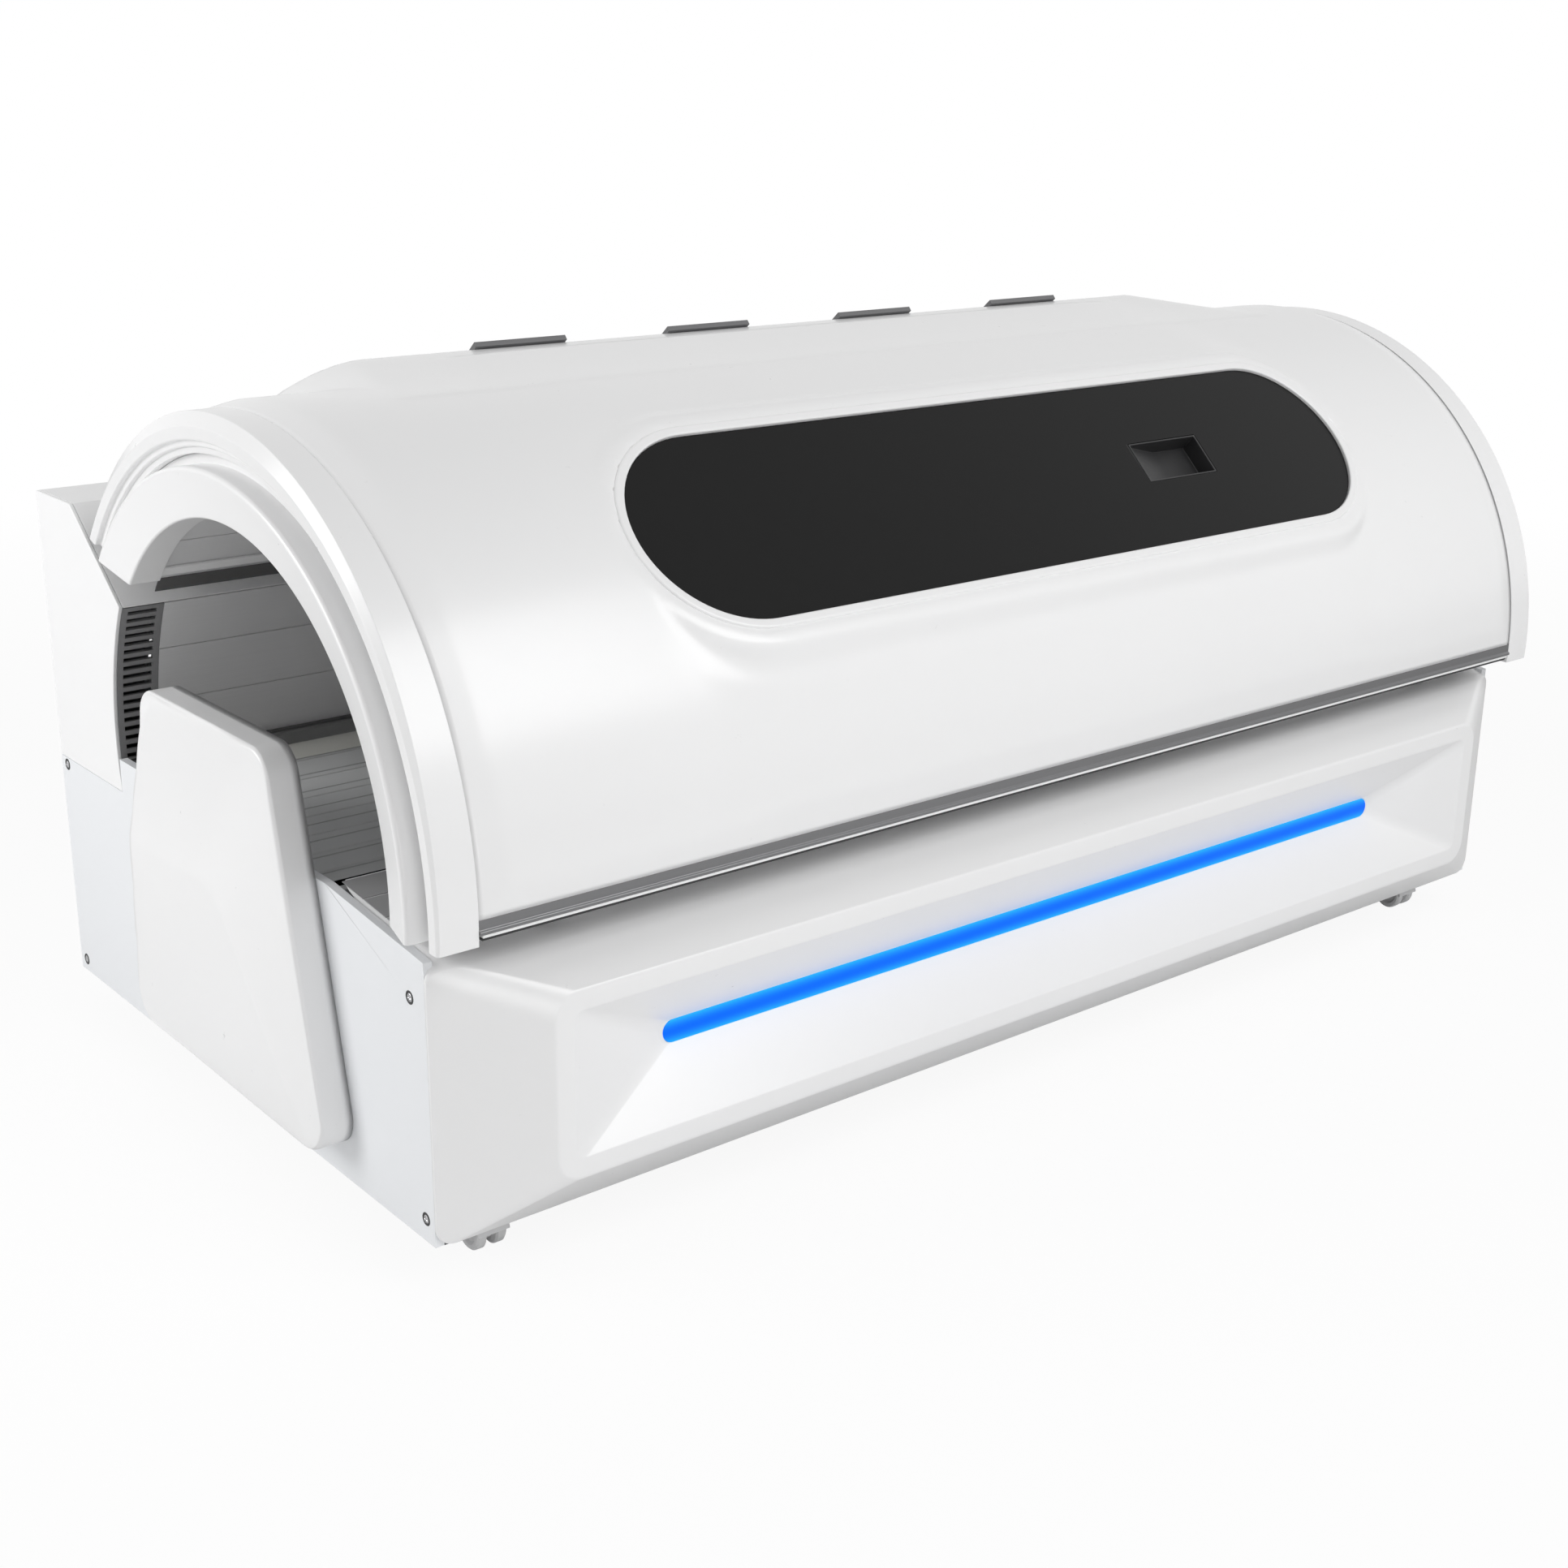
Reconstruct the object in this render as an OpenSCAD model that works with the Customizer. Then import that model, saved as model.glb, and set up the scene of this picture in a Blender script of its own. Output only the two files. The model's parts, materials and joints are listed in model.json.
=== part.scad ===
// Red light therapy bed: a clamshell with a hinged canopy over a lying surface.
// Millimetres. +X runs along the bed, +Y to the hinge side, +Z up.
// The shapes are drawn about the middle of the base, on the floor, and each
// node is then moved so that the origin lies under the middle of the whole bed.

/* [Base] */
// Length over the two end panels
bed_l = 2108; // [2000:2:2200]
// Depth of the base, from its front face to the back of the cabinet
bed_w = 1082; // [1062:2:1122]
// Height of the base's underside, which the casters set
base_z = 62; // [60:1:72]
// Height of the lying surface's long edges
deck_z = 462; // [452:1:472]
// How far the deck's front edge lies below the lying surface
deck_drop = 27; // [20:1:34]
// Thickness of the end panels
end_t = 12; // [8:1:16]
// How far the seam between an end panel and the cabinet side lies below the lying surface
seam_below = 50; // [42:1:62]
// Wall of the folded sheets of the cabinet and the tray
sheet_t = 2; // [1.5:0.5:3]
// Width of the frame's square tubes
tube_w = 40; // [30:1:44]
// Wall of the frame's square tubes
tube_wall = 2.5; // [1.5:0.5:4]

/* [Front fascia] */
// How far the fascia's rim stands in front of the base
bulge = 75; // [60:1:84]
// Width of the sloping margin at each end of the fascia
margin_x = 131; // [110:1:150]
// Height of the rim's lower edge above the base's underside
rim_low = 72; // [60:1:80]
// How far the rim's upper edge lies below the deck's front edge
rim_below = 53; // [47:1:73]
// Width of the flat rim round the recess
rim_band = 26; // [18:1:32]
// Depth of the recess from the rim to the light bar
recess_d = 62; // [50:1:66]
// Wall of the moulded fascia
fascia_t = 4; // [3:0.5:5]
// Distance of the light bar's ends from the ends of the recess
bar_in = 174; // [150:1:220]
// Height of the light bar
bar_h = 32; // [24:1:40]

/* [Lying surface] */
// Distance of the clear sheet's front edge in front of the canopy's axis
sheet_front = 210; // [200:1:220]
// Width of the sill behind the clear sheet, up to the inner wall's radius
sill_w = 16; // [14:1:24]
// Thickness of the clear sheet
bed_sheet_t = 8; // [6:1:10]
// How far the middle of the clear sheet lies below its edges
bed_sag = 12; // [8:1:16]
// Gap between the clear sheet and the light panel under it
bed_gap = 14; // [10:1:16]
// Thickness of a light panel
led_t = 10; // [8:1:12]
// Number of strips across the lying surface
bed_strips = 8; // [6:1:10]

/* [Cabinet] */
// Height of the cabinet's top above the canopy's axis, as a share of the shell's radius
cabinet_share = 0.63; // [0.61:0.005:0.65]
// Depth of the cabinet's flat top
cabinet_top_w = 125; // [115:1:135]
// How much smaller the concave inner wall's radius is than the shell's
wall_in = 103; // [97:1:105]
// Angle at which the inner wall meets the sloping face
wall_top_a = 29.5; // [28:0.5:31]
// Angle at which the inner wall ends, below the canopy's axis
wall_low_a = -5; // [-6:0.5:-4]
// Thickness of the cabinet's side sheets
side_t = 6; // [4:1:8]
// Width of an air grille
grille_w = 60; // [50:1:70]
// Number of slots in an air grille
grille_slots = 18; // [12:1:18]
// Height of one slot of an air grille
slot_h = 6.5; // [4:0.5:8]

/* [End pod] */
// Length of the pod's top edge
pod_top_w = 355; // [320:1:380]
// Length of the pod's bottom edge
pod_low_w = 625; // [580:1:650]
// Height of the pod's top above the lying surface
pod_rise = 163; // [140:1:180]
// Height of the pod's bottom above the base's underside
pod_low = 50; // [40:1:70]
// Depth of the pod's side walls
pod_wall_d = 43; // [36:1:50]
// How far the pod's ridge stands beyond its side walls
pod_peak = 31; // [20:1:40]
// Radius of the pod's corners
pod_corner_r = 42; // [30:1:50]

/* [Canopy] */
// How far the canopy's end rims stand beyond the end panels
canopy_over = 16; // [4:1:36]
// Height of the canopy's axis above the lying surface
axis_rise = 27; // [20:1:34]
// How far the canopy shell stands in front of the base's front face
shell_over = 71; // [66:1:76]
// Distance of the shell's full circle from the back of the cabinet
shell_back = 111; // [105:1:117]
// Distance of the canopy's axis, which its inside is round, in front of the shell's own
skin_back = 6; // [3:1:8]
// Height of the shell's own axis above the canopy's axis
skin_up = 8; // [5:1:10]
// Wall of the canopy shell
shell_t = 5; // [4:0.5:6]
// Width of an end band
band_w = 55; // [45:1:65]
// How far the end bands' outer surface lies inside the shell's
band_step = 8; // [6:0.5:10]
// Length of the soft ramps from the end bands up to the shell
shell_ramp = 38; // [30:1:46]
// Gap between an end band and the shell
band_gap = 0.8; // [0.6:0.1:2]
// How much smaller the end rings' inner radius is than the shell's
ring_in = 133; // [128:1:135]
// How far the end rings stand beyond the end rims
ring_out = 12; // [8:1:16]
// Angle of the canopy's rear edge about the shell's own axis
rear_a = 35.3; // [34.6:0.1:36.4]
// Slope of the canopy's rear edge
rear_tilt = 22.5; // [20:0.5:26]
// Height of the shell's front edge above the canopy's axis
shell_low = 10; // [6:1:14]
// Height of the facet along the shell's front edge
facet_h = 35; // [28:1:42]
// How far the facet leans in at its foot
facet_in = 7; // [3:1:9]
// Height of the end bands' lower ends below the canopy's axis
band_low = 23; // [20:1:26]
// Number of strips round the canopy's light panel
canopy_strips = 13; // [10:1:14]

/* [Roof and vents] */
// Slope of the roof's front face
roof_a = 5.35; // [4.5:0.05:6.5]
// Distance of the roof's ridge behind the shell's own axis
ridge_in = 171; // [162:1:180]
// Length of the roof's ridge, as a share of the length over the end panels
roof_share = 0.719; // [0.69:0.001:0.74]
// Radius of the roof's rounded left end
roof_round = 155; // [130:1:180]
// Fall of the ramp at the roof's right end, as height over length
roof_slope = 0.21; // [0.19:0.01:0.26]
// Angle about the axis at which the roof's rear face meets the shell
roof_rear_a = 52; // [50:0.5:54]
// Distance between two exhaust vents
vent_pitch = 336; // [300:2:350]
// Width of an exhaust vent
vent_w = 153; // [140:1:165]
// Width of a fan's square frame
fan_w = 120; // [110:1:124]
// Thickness of a fan
fan_t = 25; // [20:1:30]
// Number of blades of a fan
fan_blades = 7; // [5:1:9]

/* [Front panel] */
// Half the distance between the centres of the panel's round ends
panel_c = 539; // [500:1:560]
// Radius of the panel's round ends
panel_r = 143; // [130:1:150]
// How much nearer the shell's own axis the panel's face lies than the shell's surface
panel_sink = 6.6; // [4:0.2:9]
// Lean of the panel's face back from upright, as the angle of its normal
panel_tilt = 44; // [42:0.5:46]
// Distance that the panel is set up its own slope
panel_up = 0; // [-4:1:4]
// Thickness of the black panel
glass_t = 5; // [4:0.5:6]
// Width of the white trim round the panel
trim_w = 14; // [10:1:18]
// Width of the soft slope round the trim
bezel_w = 84; // [80:1:88]
// Depth of the soft slope round the trim
bezel_d = 56; // [54:1:59]
// Length of the hand pull's opening
pull_w = 148; // [120:1:160]
// Height of the hand pull's opening
pull_h = 70; // [56:1:76]
// Depth of the hand pull
pull_d = 32; // [24:1:36]
// Distance of the hand pull from the middle of the panel
pull_x = 302; // [280:1:320]
// Share of the hand pull's length that its ramp takes
ramp_share = 0.52; // [0.4:0.01:0.6]

/* [Hinge and lift] */
// Distance of the hinge down the cabinet's sloping face from its top edge
hinge_down = 42.16; // [40:0.02:44]
// Depth of the hinge behind the cabinet's sloping face
hinge_behind = 26.23; // [25.6:0.02:28]
// Diameter of the hinge shaft
shaft_d = 25; // [22:1:26]
// Running clearance of shafts and rods, on the diameter
fit = 0.1; // [0.05:0.01:0.15]
// Distance of the two hinge arms from the middle, as a share of half the bed's length
arm_share = 0.588; // [0.57:0.001:0.61]
// Thickness of a hinge arm
arm_t = 14; // [10:1:16]
// Radius of the crank levers, from the shaft to their pins
crank_r = 60; // [56:1:62]
// Angle that the canopy opens, which the cranks are centred on
open_a = 50; // [44:1:52]
// Diameter of the lift struts' rods
rod_d = 14; // [12:1:16]
// Diameter of the lift struts' cylinders
strut_d = 34; // [28:1:36]

/* [Casters] */
// Distance of the casters from the faces of the end panels
caster_end = 104; // [74:1:134]
// Distance of the casters from the front and back faces
caster_in = 51; // [46:1:60]
// Diameter of a caster's wheels
wheel_d = 50; // [46:1:50]
// Width of one wheel
wheel_w = 16; // [12:1:18]
// Distance of the wheels' axle behind the swivel axis
trail = 15; // [12:1:17]

/* [Hidden] */
$fn = 96;
slip = 0.3;            // gap left between pieces on different bodies and at seats
hull_fn = 32;
front_y = -bed_w/2;
back_y = bed_w/2;
end_x = bed_l/2;
inside_x = end_x - end_t - 0.5;
front_z = deck_z - deck_drop;
tray_top = base_z + sheet_t;
seam_z = deck_z - seam_below;

// The canopy's skin is round about its own axis, its inside about the canopy's axis
shell_r = (bed_w + shell_over - shell_back)/2;
skin_y = front_y - shell_over + shell_r;
axis_y = skin_y - skin_back;
axis_z = deck_z + axis_rise;
skin_z = axis_z + skin_up;

// Fascia
rim_y = front_y - bulge;
rim_x = end_x - margin_x;
rim_z0 = base_z + rim_low;
rim_z1 = front_z - rim_below;
rim_r = 30;
recess_r = 14;
recess_x = rim_x - rim_band;
bar_l = 2*(recess_x - bar_in);
recess_z0 = rim_z0 + rim_band;
recess_z1 = rim_z1 - rim_band;
bar_z = (rim_z0 + rim_z1)/2 - 2;
bar_y = rim_y + recess_d;
flange_d = 4;

// Lying surface: two arcs about one centre line above the bed
wall_r = shell_r - wall_in;
bed_sheet_w = wall_r - sill_w + sheet_front;
deck_front = axis_y - sheet_front;
deck_rear = deck_front + bed_sheet_w;
bed_y = (deck_front + deck_rear)/2;
bed_r = pow(bed_sheet_w/2, 2)/(2*bed_sag) + bed_sag/2;
bed_axis_z = deck_z + bed_r - bed_sag;
led_r0 = bed_r + bed_sheet_t + bed_gap;
led_half = bed_sheet_w/2 - 18;
function bed_arc_z(y, r) = bed_axis_z - sqrt(r*r - pow(y - bed_y, 2));
ledge_w = 12;
ledge_z = bed_arc_z(deck_front + ledge_w, bed_r + bed_sheet_t) - slip;
rail_h = 30;
rail_w = 62;
tube_x = inside_x - 8;
tube_y = front_y + 3;
rail_ys = [bed_y - bed_sheet_w/2 + rail_w/2 - 12, bed_y + bed_sheet_w/2 - rail_w/2 + 12];
cross_h = 18;
deck_under = front_z - 4.3;
rail_z = bed_arc_z(bed_y - led_half, led_r0 + led_t) - 2.6;
sill_rear = axis_y + sqrt(wall_r*wall_r - axis_rise*axis_rise) - 2.5;

// Cabinet corners, seen along the bed
cabinet_z = axis_z + round(cabinet_share*shell_r);
top_front = [back_y - cabinet_top_w, cabinet_z];
slope_low = [axis_y + wall_r*cos(wall_top_a), axis_z + wall_r*sin(wall_top_a)];
slope_dir = (slope_low - top_front)/norm(slope_low - top_front);
slope_out = [slope_dir[1], -slope_dir[0]];
function inset(p, n1, n2, t) = p - t*(n1 + n2)/(1 + n1*n2);
cap_inner = inset(top_front, [0, 1], slope_out, sheet_t);
wall_t = 10;
grille_t = 5;
wall_x = end_x - side_t - grille_w - 2;
pitch_a = (wall_top_a - wall_low_a - 1.5)/grille_slots;
rib_t = 5;
rib_xs = [-1000, -350, 350, 1000]*bed_l/2108;

// Hinge and lift
hinge = top_front + hinge_down*slope_dir - hinge_behind*slope_out;
arm_x = round(arm_share*end_x);
hub_r = shaft_d/2 + 7;
bearing_t = 20;
bearing_gap = 32;
bearing_in = arm_x - arm_t/2 - bearing_gap - bearing_t/2;
bearing_out = arm_x + arm_t/2 + bearing_gap + bearing_t/2;
crank_t = 12;
crank_x = bearing_out + bearing_t/2 + 30;
pin_d = 12;
rod_x = crank_x + crank_t/2 + 3 + rod_d/2;
rod_y = hinge[0] + crank_r*(1 + cos(open_a/2))/2;
rod_top = hinge[1] + crank_r*sin(open_a/2);
eye_t = 10;
slot_half_y = pin_d/2 + crank_r*(1 - cos(open_a/2))/2 + 0.6;
slot_half_z = pin_d/2 + 0.7;
strut_low = 280;
strut_top = 640;
rod_low = 500;
bore_more = 70;
beam_y = back_y - sheet_t - tube_w;
shaft_half = crank_x + crank_t/2;

// Canopy
axis_pt = [axis_y, axis_z];
skin_pt = [skin_y, skin_z];
shell_in = shell_r - shell_t;
rim_half = end_x + canopy_over;
shell_half = rim_half - band_w - band_gap;
band_r = shell_r - band_step;
band_face_r = shell_r - 18;
ring_w = 50;
ring_r = shell_r - ring_in;
ring_top_r = shell_r - 53;
ring_side_r = ring_top_r - 13;
led_r = ring_r + 10;
led_half_x = rim_half - ring_w - slip;
rib_r0 = led_r + led_t + 2 + slip;
rib_r1 = shell_in - slip;
rear_pt = skin_pt + shell_r*[cos(rear_a), sin(rear_a)];
rear_dir = [cos(rear_tilt), sin(rear_tilt)];
far = 1.4*shell_r;
canopy_rib_t = 12;
outer_rib_x = shell_half - shell_ramp - canopy_rib_t/2 - 1;
canopy_rib_xs = [-outer_rib_x, -(arm_x + arm_t/2 + canopy_rib_t/2),
                 arm_x + arm_t/2 + canopy_rib_t/2, outer_rib_x];
rail_bottom = axis_z - 9;
rail_face = skin_y - shell_r + facet_in + 1;
rail_lip = 3;
rail_depth = 43;
panel_off = shell_r - panel_sink;
bezel_top = panel_off - glass_t;
pull_wall = 3;
arm_a0 = [cos(rear_a + 4.2), sin(rear_a + 4.2)];
arm_a1 = [cos(rear_a + 16.8), sin(rear_a + 16.8)];
arm_edge = rear_pt - 35*rear_dir - [0, 1.6];

// Roof
roof_half = round(roof_share*end_x);
roof_start = skin_pt + shell_r*[cos(90 + roof_a), sin(90 + roof_a)];
ridge = [skin_y + ridge_in, roof_start[1] + (skin_y + ridge_in - roof_start[0])*tan(roof_a)];
roof_end = skin_pt + shell_r*[cos(roof_rear_a), sin(roof_rear_a)];
roof_n = [-sin(roof_a), cos(roof_a)];
vent_dir = (roof_end - ridge)/norm(roof_end - ridge);
vent_n = [-vent_dir[1], vent_dir[0]];
vent_len = norm(roof_end - ridge);
vent_tilt = atan2(vent_n[0], vent_n[1]);
fan_d = fan_w - 8;
fan_mid = 92;
fan_back = -shell_t - fan_t - 0.2;
rotor_t = fan_t - 6;
vent_xs = [-1.5, -0.5, 0.5, 1.5]*vent_pitch;
louvre_n = 7;
louvre_a = 30;
vent_h = 8;

// Pod, seen from the end
pod_z0 = base_z + pod_low;
pod_z1 = deck_z + pod_rise;
pod_y0 = axis_y - 0.431*pod_top_w;
pod_low_y0 = axis_y - 0.4128*pod_low_w;
pod_t = 4;

// Casters
caster_x = end_x - caster_end;
caster_ys = [front_y + caster_in, back_y - caster_in];
plate_t = 4;
plate_z = base_z - plate_t;
kingpin_d = 8;
pin_low = wheel_d + 2;
axle_d = 6;
web_t = 13;
axle_z = wheel_d/2;

// Units that drive the light panels
driver = [220, 110, 52];
driver_y = bed_y - 90;
driver_xs = [-950, -660, -300, 30, 400, 690]*bed_l/2108;

// Service plate at the back
service_x = end_x - 204;
service_z = 170;
window_w = 200;
window_h = 80;
inlet_x = -45;
rocker_x = 50;
rocker_half = 11;
rocker_y = back_y - 11;
rocker_pin_d = 3;
rocker_tilt = 10;

// The middle of the whole bed, seen from above
low_x = -(end_x + pod_wall_d + pod_peak);
high_x = rim_half + ring_out;
mid = [(low_x + high_x)/2, (rim_y + back_y)/2, 0];

white = [0.94, 0.94, 0.95];

// Helpers: outlines drawn as [y, z] are pushed along X, as [x, z] along Y
module span_x(x0, x1) translate([x0, 0, 0]) rotate([90, 0, 90]) linear_extrude(x1 - x0) children();
module span_y(y0, y1) translate([0, y1, 0]) rotate([90, 0, 0]) linear_extrude(y1 - y0) children();
module block(low, high) translate(low) cube(high - low);
// A hollow tube from corner to corner, which runs along axis 0, 1 or 2
module tube(low, high, axis) difference() {
    grow = [for (i = [0:2]) i == axis ? 1 : -tube_wall];
    block(low, high);
    block(low - grow, high + grow);
}
module at_axis() translate([0, axis_y, axis_z]) children();
module at_skin() translate([0, skin_y, skin_z]) children();
// Turns a profile of [radius, x] about the canopy's axis or the shell's own
module turned() rotate([0, 90, 0]) rotate_extrude($fn = 180) children();
module revolve_x() at_axis() turned() children();
module revolve_skin() at_skin() turned() children();
module both_ends() { children(); mirror([1, 0, 0]) children(); }
module ring_2d(r0, r1) translate(axis_pt) difference() {
    circle(r1, $fn = 180);
    circle(r0, $fn = 180);
}
// The sector between two angles about the canopy's axis
module sector(a0, a1, r) translate(axis_pt) polygon([[0, 0], r*[cos(a0), sin(a0)],
    r*1.2*[cos((a0 + a1)/2), sin((a0 + a1)/2)], r*[cos(a1), sin(a1)]]);
// Everything that belongs to the canopy, above one height in front and the sloping cut behind
module canopy_region(low_z) polygon([[axis_y - far, low_z], [axis_y, low_z],
    rear_pt - 0.4*shell_r*rear_dir, rear_pt + 0.6*shell_r*rear_dir,
    [axis_y + far, axis_z + far], [axis_y - far, axis_z + far]]);
module on_panel(h) at_skin() rotate([panel_tilt, 0, 0]) translate([0, panel_up, h]) children();
module on_vent(x) translate([x, ridge[0] + vent_dir[0]*fan_mid, ridge[1] + vent_dir[1]*fan_mid])
    rotate([-vent_tilt, 0, 0]) children();

// Base
module frame_tubes() color("dimgray") {
    long_tubes();
    cross_tubes();
}
module long_tube(y, z, w, h) tube([-tube_x, y, z], [tube_x, y + w, z + h], 0);
module long_tubes() {
    for (y = [tube_y, beam_y]) long_tube(y, tray_top, tube_w, tube_w);
    long_tube(tube_y, deck_under - rail_h, rail_h, rail_h);
    for (y = rail_ys) long_tube(y - rail_w/2, rail_z - rail_h, rail_w, rail_h);
    // beam that carries the hinge bearings
    long_tube(beam_y, hinge[1] - tube_w/2, tube_w, tube_w);
    // rail that the struts stand on
    long_tube(rod_y - tube_w/2, strut_low - rail_h, tube_w, rail_h);
}
module cross_tubes() for (x = rib_xs) {
    x0 = x - tube_w/2;
    x1 = x + tube_w/2;
    tube([x0, tube_y + tube_w + slip, tray_top], [x1, beam_y - slip, tray_top + tube_w], 1);
    tube([x0, rail_ys[0] + rail_w/2 + slip, rail_z - rail_h],
         [x1, rail_ys[1] - rail_w/2 - slip, rail_z - rail_h + cross_h], 1);
}
module frame_posts() color("dimgray") for (x = rib_xs) {
    post(x, tube_y + rail_h/2, deck_under - rail_h);
    for (y = rail_ys) post(x, y, rail_z - rail_h);
    post(x, beam_y + rail_h/2, hinge[1] - tube_w/2);
    post(x, rod_y, strut_low - rail_h);
}
module post(x, y, top) {
    half = rail_h/2;
    tube([x - half, y - half, tray_top + tube_w], [x + half, y + half, top], 2);
}
module base_tray() color("gray") difference() {
    block([-end_x + end_t, front_y, base_z], [end_x - end_t, back_y - sheet_t, tray_top]);
    for (i = [-5:5]) block([i*160 - 50, -20, base_z - 1], [i*160 + 50, -8, tray_top + 1]);
}
// A plate with rounded corners, standing across the bed
module face_plate(y, x, z0, z1, r, t) hull() for (sx = [-1, 1], z = [z0 + r, z1 - r])
    translate([sx*(x - r), y, z]) rotate([90, 0, 0]) cylinder(t, r = r, center = true, $fn = hull_fn);
module fascia_form(grow) hull() {
    block([-end_x - grow, front_y - flange_d, base_z - grow], [end_x + grow, front_y, front_z + grow]);
    face_plate(rim_y + 0.5 - grow, rim_x + grow, rim_z0 - grow, rim_z1 + grow, rim_r, 1);
}
module recess_form(grow) hull() {
    face_plate(rim_y - 1, recess_x + grow, recess_z0 - grow, recess_z1 + grow, recess_r, 1);
    face_plate(bar_y + grow - 0.5, bar_l/2 + 6 + grow, bar_z - bar_h/2 - grow, bar_z + bar_h/2 + grow,
               bar_h/2, 1);
}
module front_fascia() color(white) difference() {
    fascia_form(0);
    difference() {
        intersection() {
            translate([0, 1, 0]) fascia_form(-fascia_t);
            block([-end_x, rim_y + fascia_t, 0], [end_x, front_y + 2, front_z]);
        }
        recess_form(fascia_t);
    }
    recess_form(0);
    bar_form(bar_l/2 + slip, bar_h/2 + slip, bar_y - 2, bar_y + 20);
}
// The obround of the light bar
module bar_form(half, r, y0, y1) {
    block([-half + r, y0, bar_z - r], [half - r, y1, bar_z + r]);
    both_ends() translate([half - r, y1, bar_z]) rotate([90, 0, 0]) cylinder(y1 - y0, r = r);
}
module light_bar() color([0, 0.56, 1]) bar_form(bar_l/2, bar_h/2, bar_y - 1, bar_y + fascia_t);
module light_bar_board() color("seagreen")
    block([-bar_l/2 + 10, bar_y + fascia_t, bar_z - 20], [bar_l/2 - 10, bar_y + fascia_t + 2, bar_z + 20]);
module front_deck() color(white) span_x(-inside_x, inside_x) polygon([
    [front_y, front_z - 4], [front_y, front_z], [deck_front - 4, deck_z], [deck_front, deck_z],
    [deck_front, ledge_z], [deck_front + ledge_w, ledge_z], [deck_front + ledge_w, ledge_z - 4],
    [deck_front - slip, ledge_z - 4], [deck_front - slip, rail_z], [deck_front - 4, rail_z],
    [deck_front - 4, deck_z - 4.5]]);
module rear_sill() color([0.80, 0.79, 0.74]) span_x(-inside_x, inside_x) polygon([
    [deck_rear - ledge_w, rail_z], [deck_rear - ledge_w, ledge_z], [deck_rear + slip, ledge_z],
    [deck_rear + slip, deck_z], [sill_rear, deck_z], [sill_rear, rail_z]]);
module end_outline() polygon([[front_y, base_z], [back_y, base_z], [back_y, seam_z],
    [sill_rear - 4, seam_z], [sill_rear - 4, deck_z], [deck_front, deck_z], [front_y, front_z]]);
screw_spots = [[520, 401], [520, 81], [-506, 380], [-521, 93]];
module end_panel() difference() {
    span_x(end_x - end_t, end_x) end_outline();
    for (s = screw_spots) translate([end_x - 4, s[0]*bed_w/1082, s[1]])
        rotate([0, 90, 0]) cylinder(6, r = 4.5);
}
module right_end_panel() color(white) end_panel();
module left_end_panel() color(white) mirror([1, 0, 0]) end_panel();
module end_panel_screws() color("silver") both_ends() for (s = screw_spots)
    translate([end_x - 4, s[0]*bed_w/1082, s[1]]) rotate([0, 90, 0]) difference() {
        cylinder(3.2, r = 4.4);
        translate([0, 0, 1.4]) cylinder(3, r = 2, $fn = 6);
    }

// Cabinet
module cabinet_side() span_x(end_x - side_t, end_x) difference() {
    polygon([[slope_low[0], seam_z + slip], [back_y, seam_z + slip], [back_y, cabinet_z], top_front,
             slope_low]);
    translate(axis_pt) circle(wall_r, $fn = 180);
}
module right_cabinet_side() color(white) cabinet_side();
module left_cabinet_side() color(white) mirror([1, 0, 0]) cabinet_side();
module cabinet_back() color(white) difference() {
    union() {
        block([-end_x + end_t, back_y - sheet_t, base_z], [end_x - end_t, back_y, seam_z + slip]);
        block([-end_x + side_t, back_y - sheet_t, seam_z + slip],
              [end_x - side_t, back_y, cabinet_z - sheet_t - slip]);
    }
    for (x = [-3:3], row = [0:5]) translate([x*280 - 80, back_y - 2*sheet_t, 540 + row*22])
        cube([160, 3*sheet_t, 6]);
    block([service_x - window_w/2, back_y - 2*sheet_t, service_z - window_h/2],
          [service_x + window_w/2, back_y + 1, service_z + window_h/2]);
}
module cabinet_top() color(white) difference() {
    span_x(-end_x + side_t + 0.2, end_x - side_t - 0.2) polygon([[back_y, cabinet_z], top_front, slope_low,
        slope_low - sheet_t*slope_out, cap_inner, [back_y, cabinet_z - sheet_t]]);
    // slots that the hinge arms swing through
    both_ends() translate([arm_x, top_front[0] + slope_dir[0]*5, top_front[1] + slope_dir[1]*5])
        rotate([atan2(slope_dir[1], slope_dir[0]) + 180, 0, 0])
        block([-arm_t/2 - 6, -hinge_down - 70, -12], [arm_t/2 + 6, 0, 12]);
}
module cabinet_ribs() color("gray") for (x = rib_xs) difference() {
    span_x(x - rib_t/2, x + rib_t/2) difference() {
        polygon([[rod_y - 14, strut_low + 40], [beam_y, strut_low + 40], [beam_y, cabinet_z - sheet_t],
                 cap_inner, slope_low - sheet_t*slope_out, [slope_low[0] + 30, axis_z]]);
        translate(axis_pt) circle(wall_r + wall_t, $fn = 180);
    }
    translate([x, hinge[0], hinge[1]]) rotate([0, 90, 0])
        cylinder(rib_t + 2, r = shaft_d/2 + 5, center = true);
}
module wall_2d(t) intersection() {
    ring_2d(wall_r, wall_r + t);
    sector(wall_low_a, wall_top_a - 0.5, wall_r + 60);
}
module rear_light_panel() color([0.52, 0.53, 0.54]) difference() {
    span_x(-wall_x, wall_x) wall_2d(wall_t);
    for (k = [1, 2]) at_axis() rotate([wall_low_a + k*(wall_top_a - wall_low_a)/3, 0, 0])
        block([-wall_x - 1, wall_r - 1, -1.2], [wall_x + 1, wall_r + 2, 1.2]);
}
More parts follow.
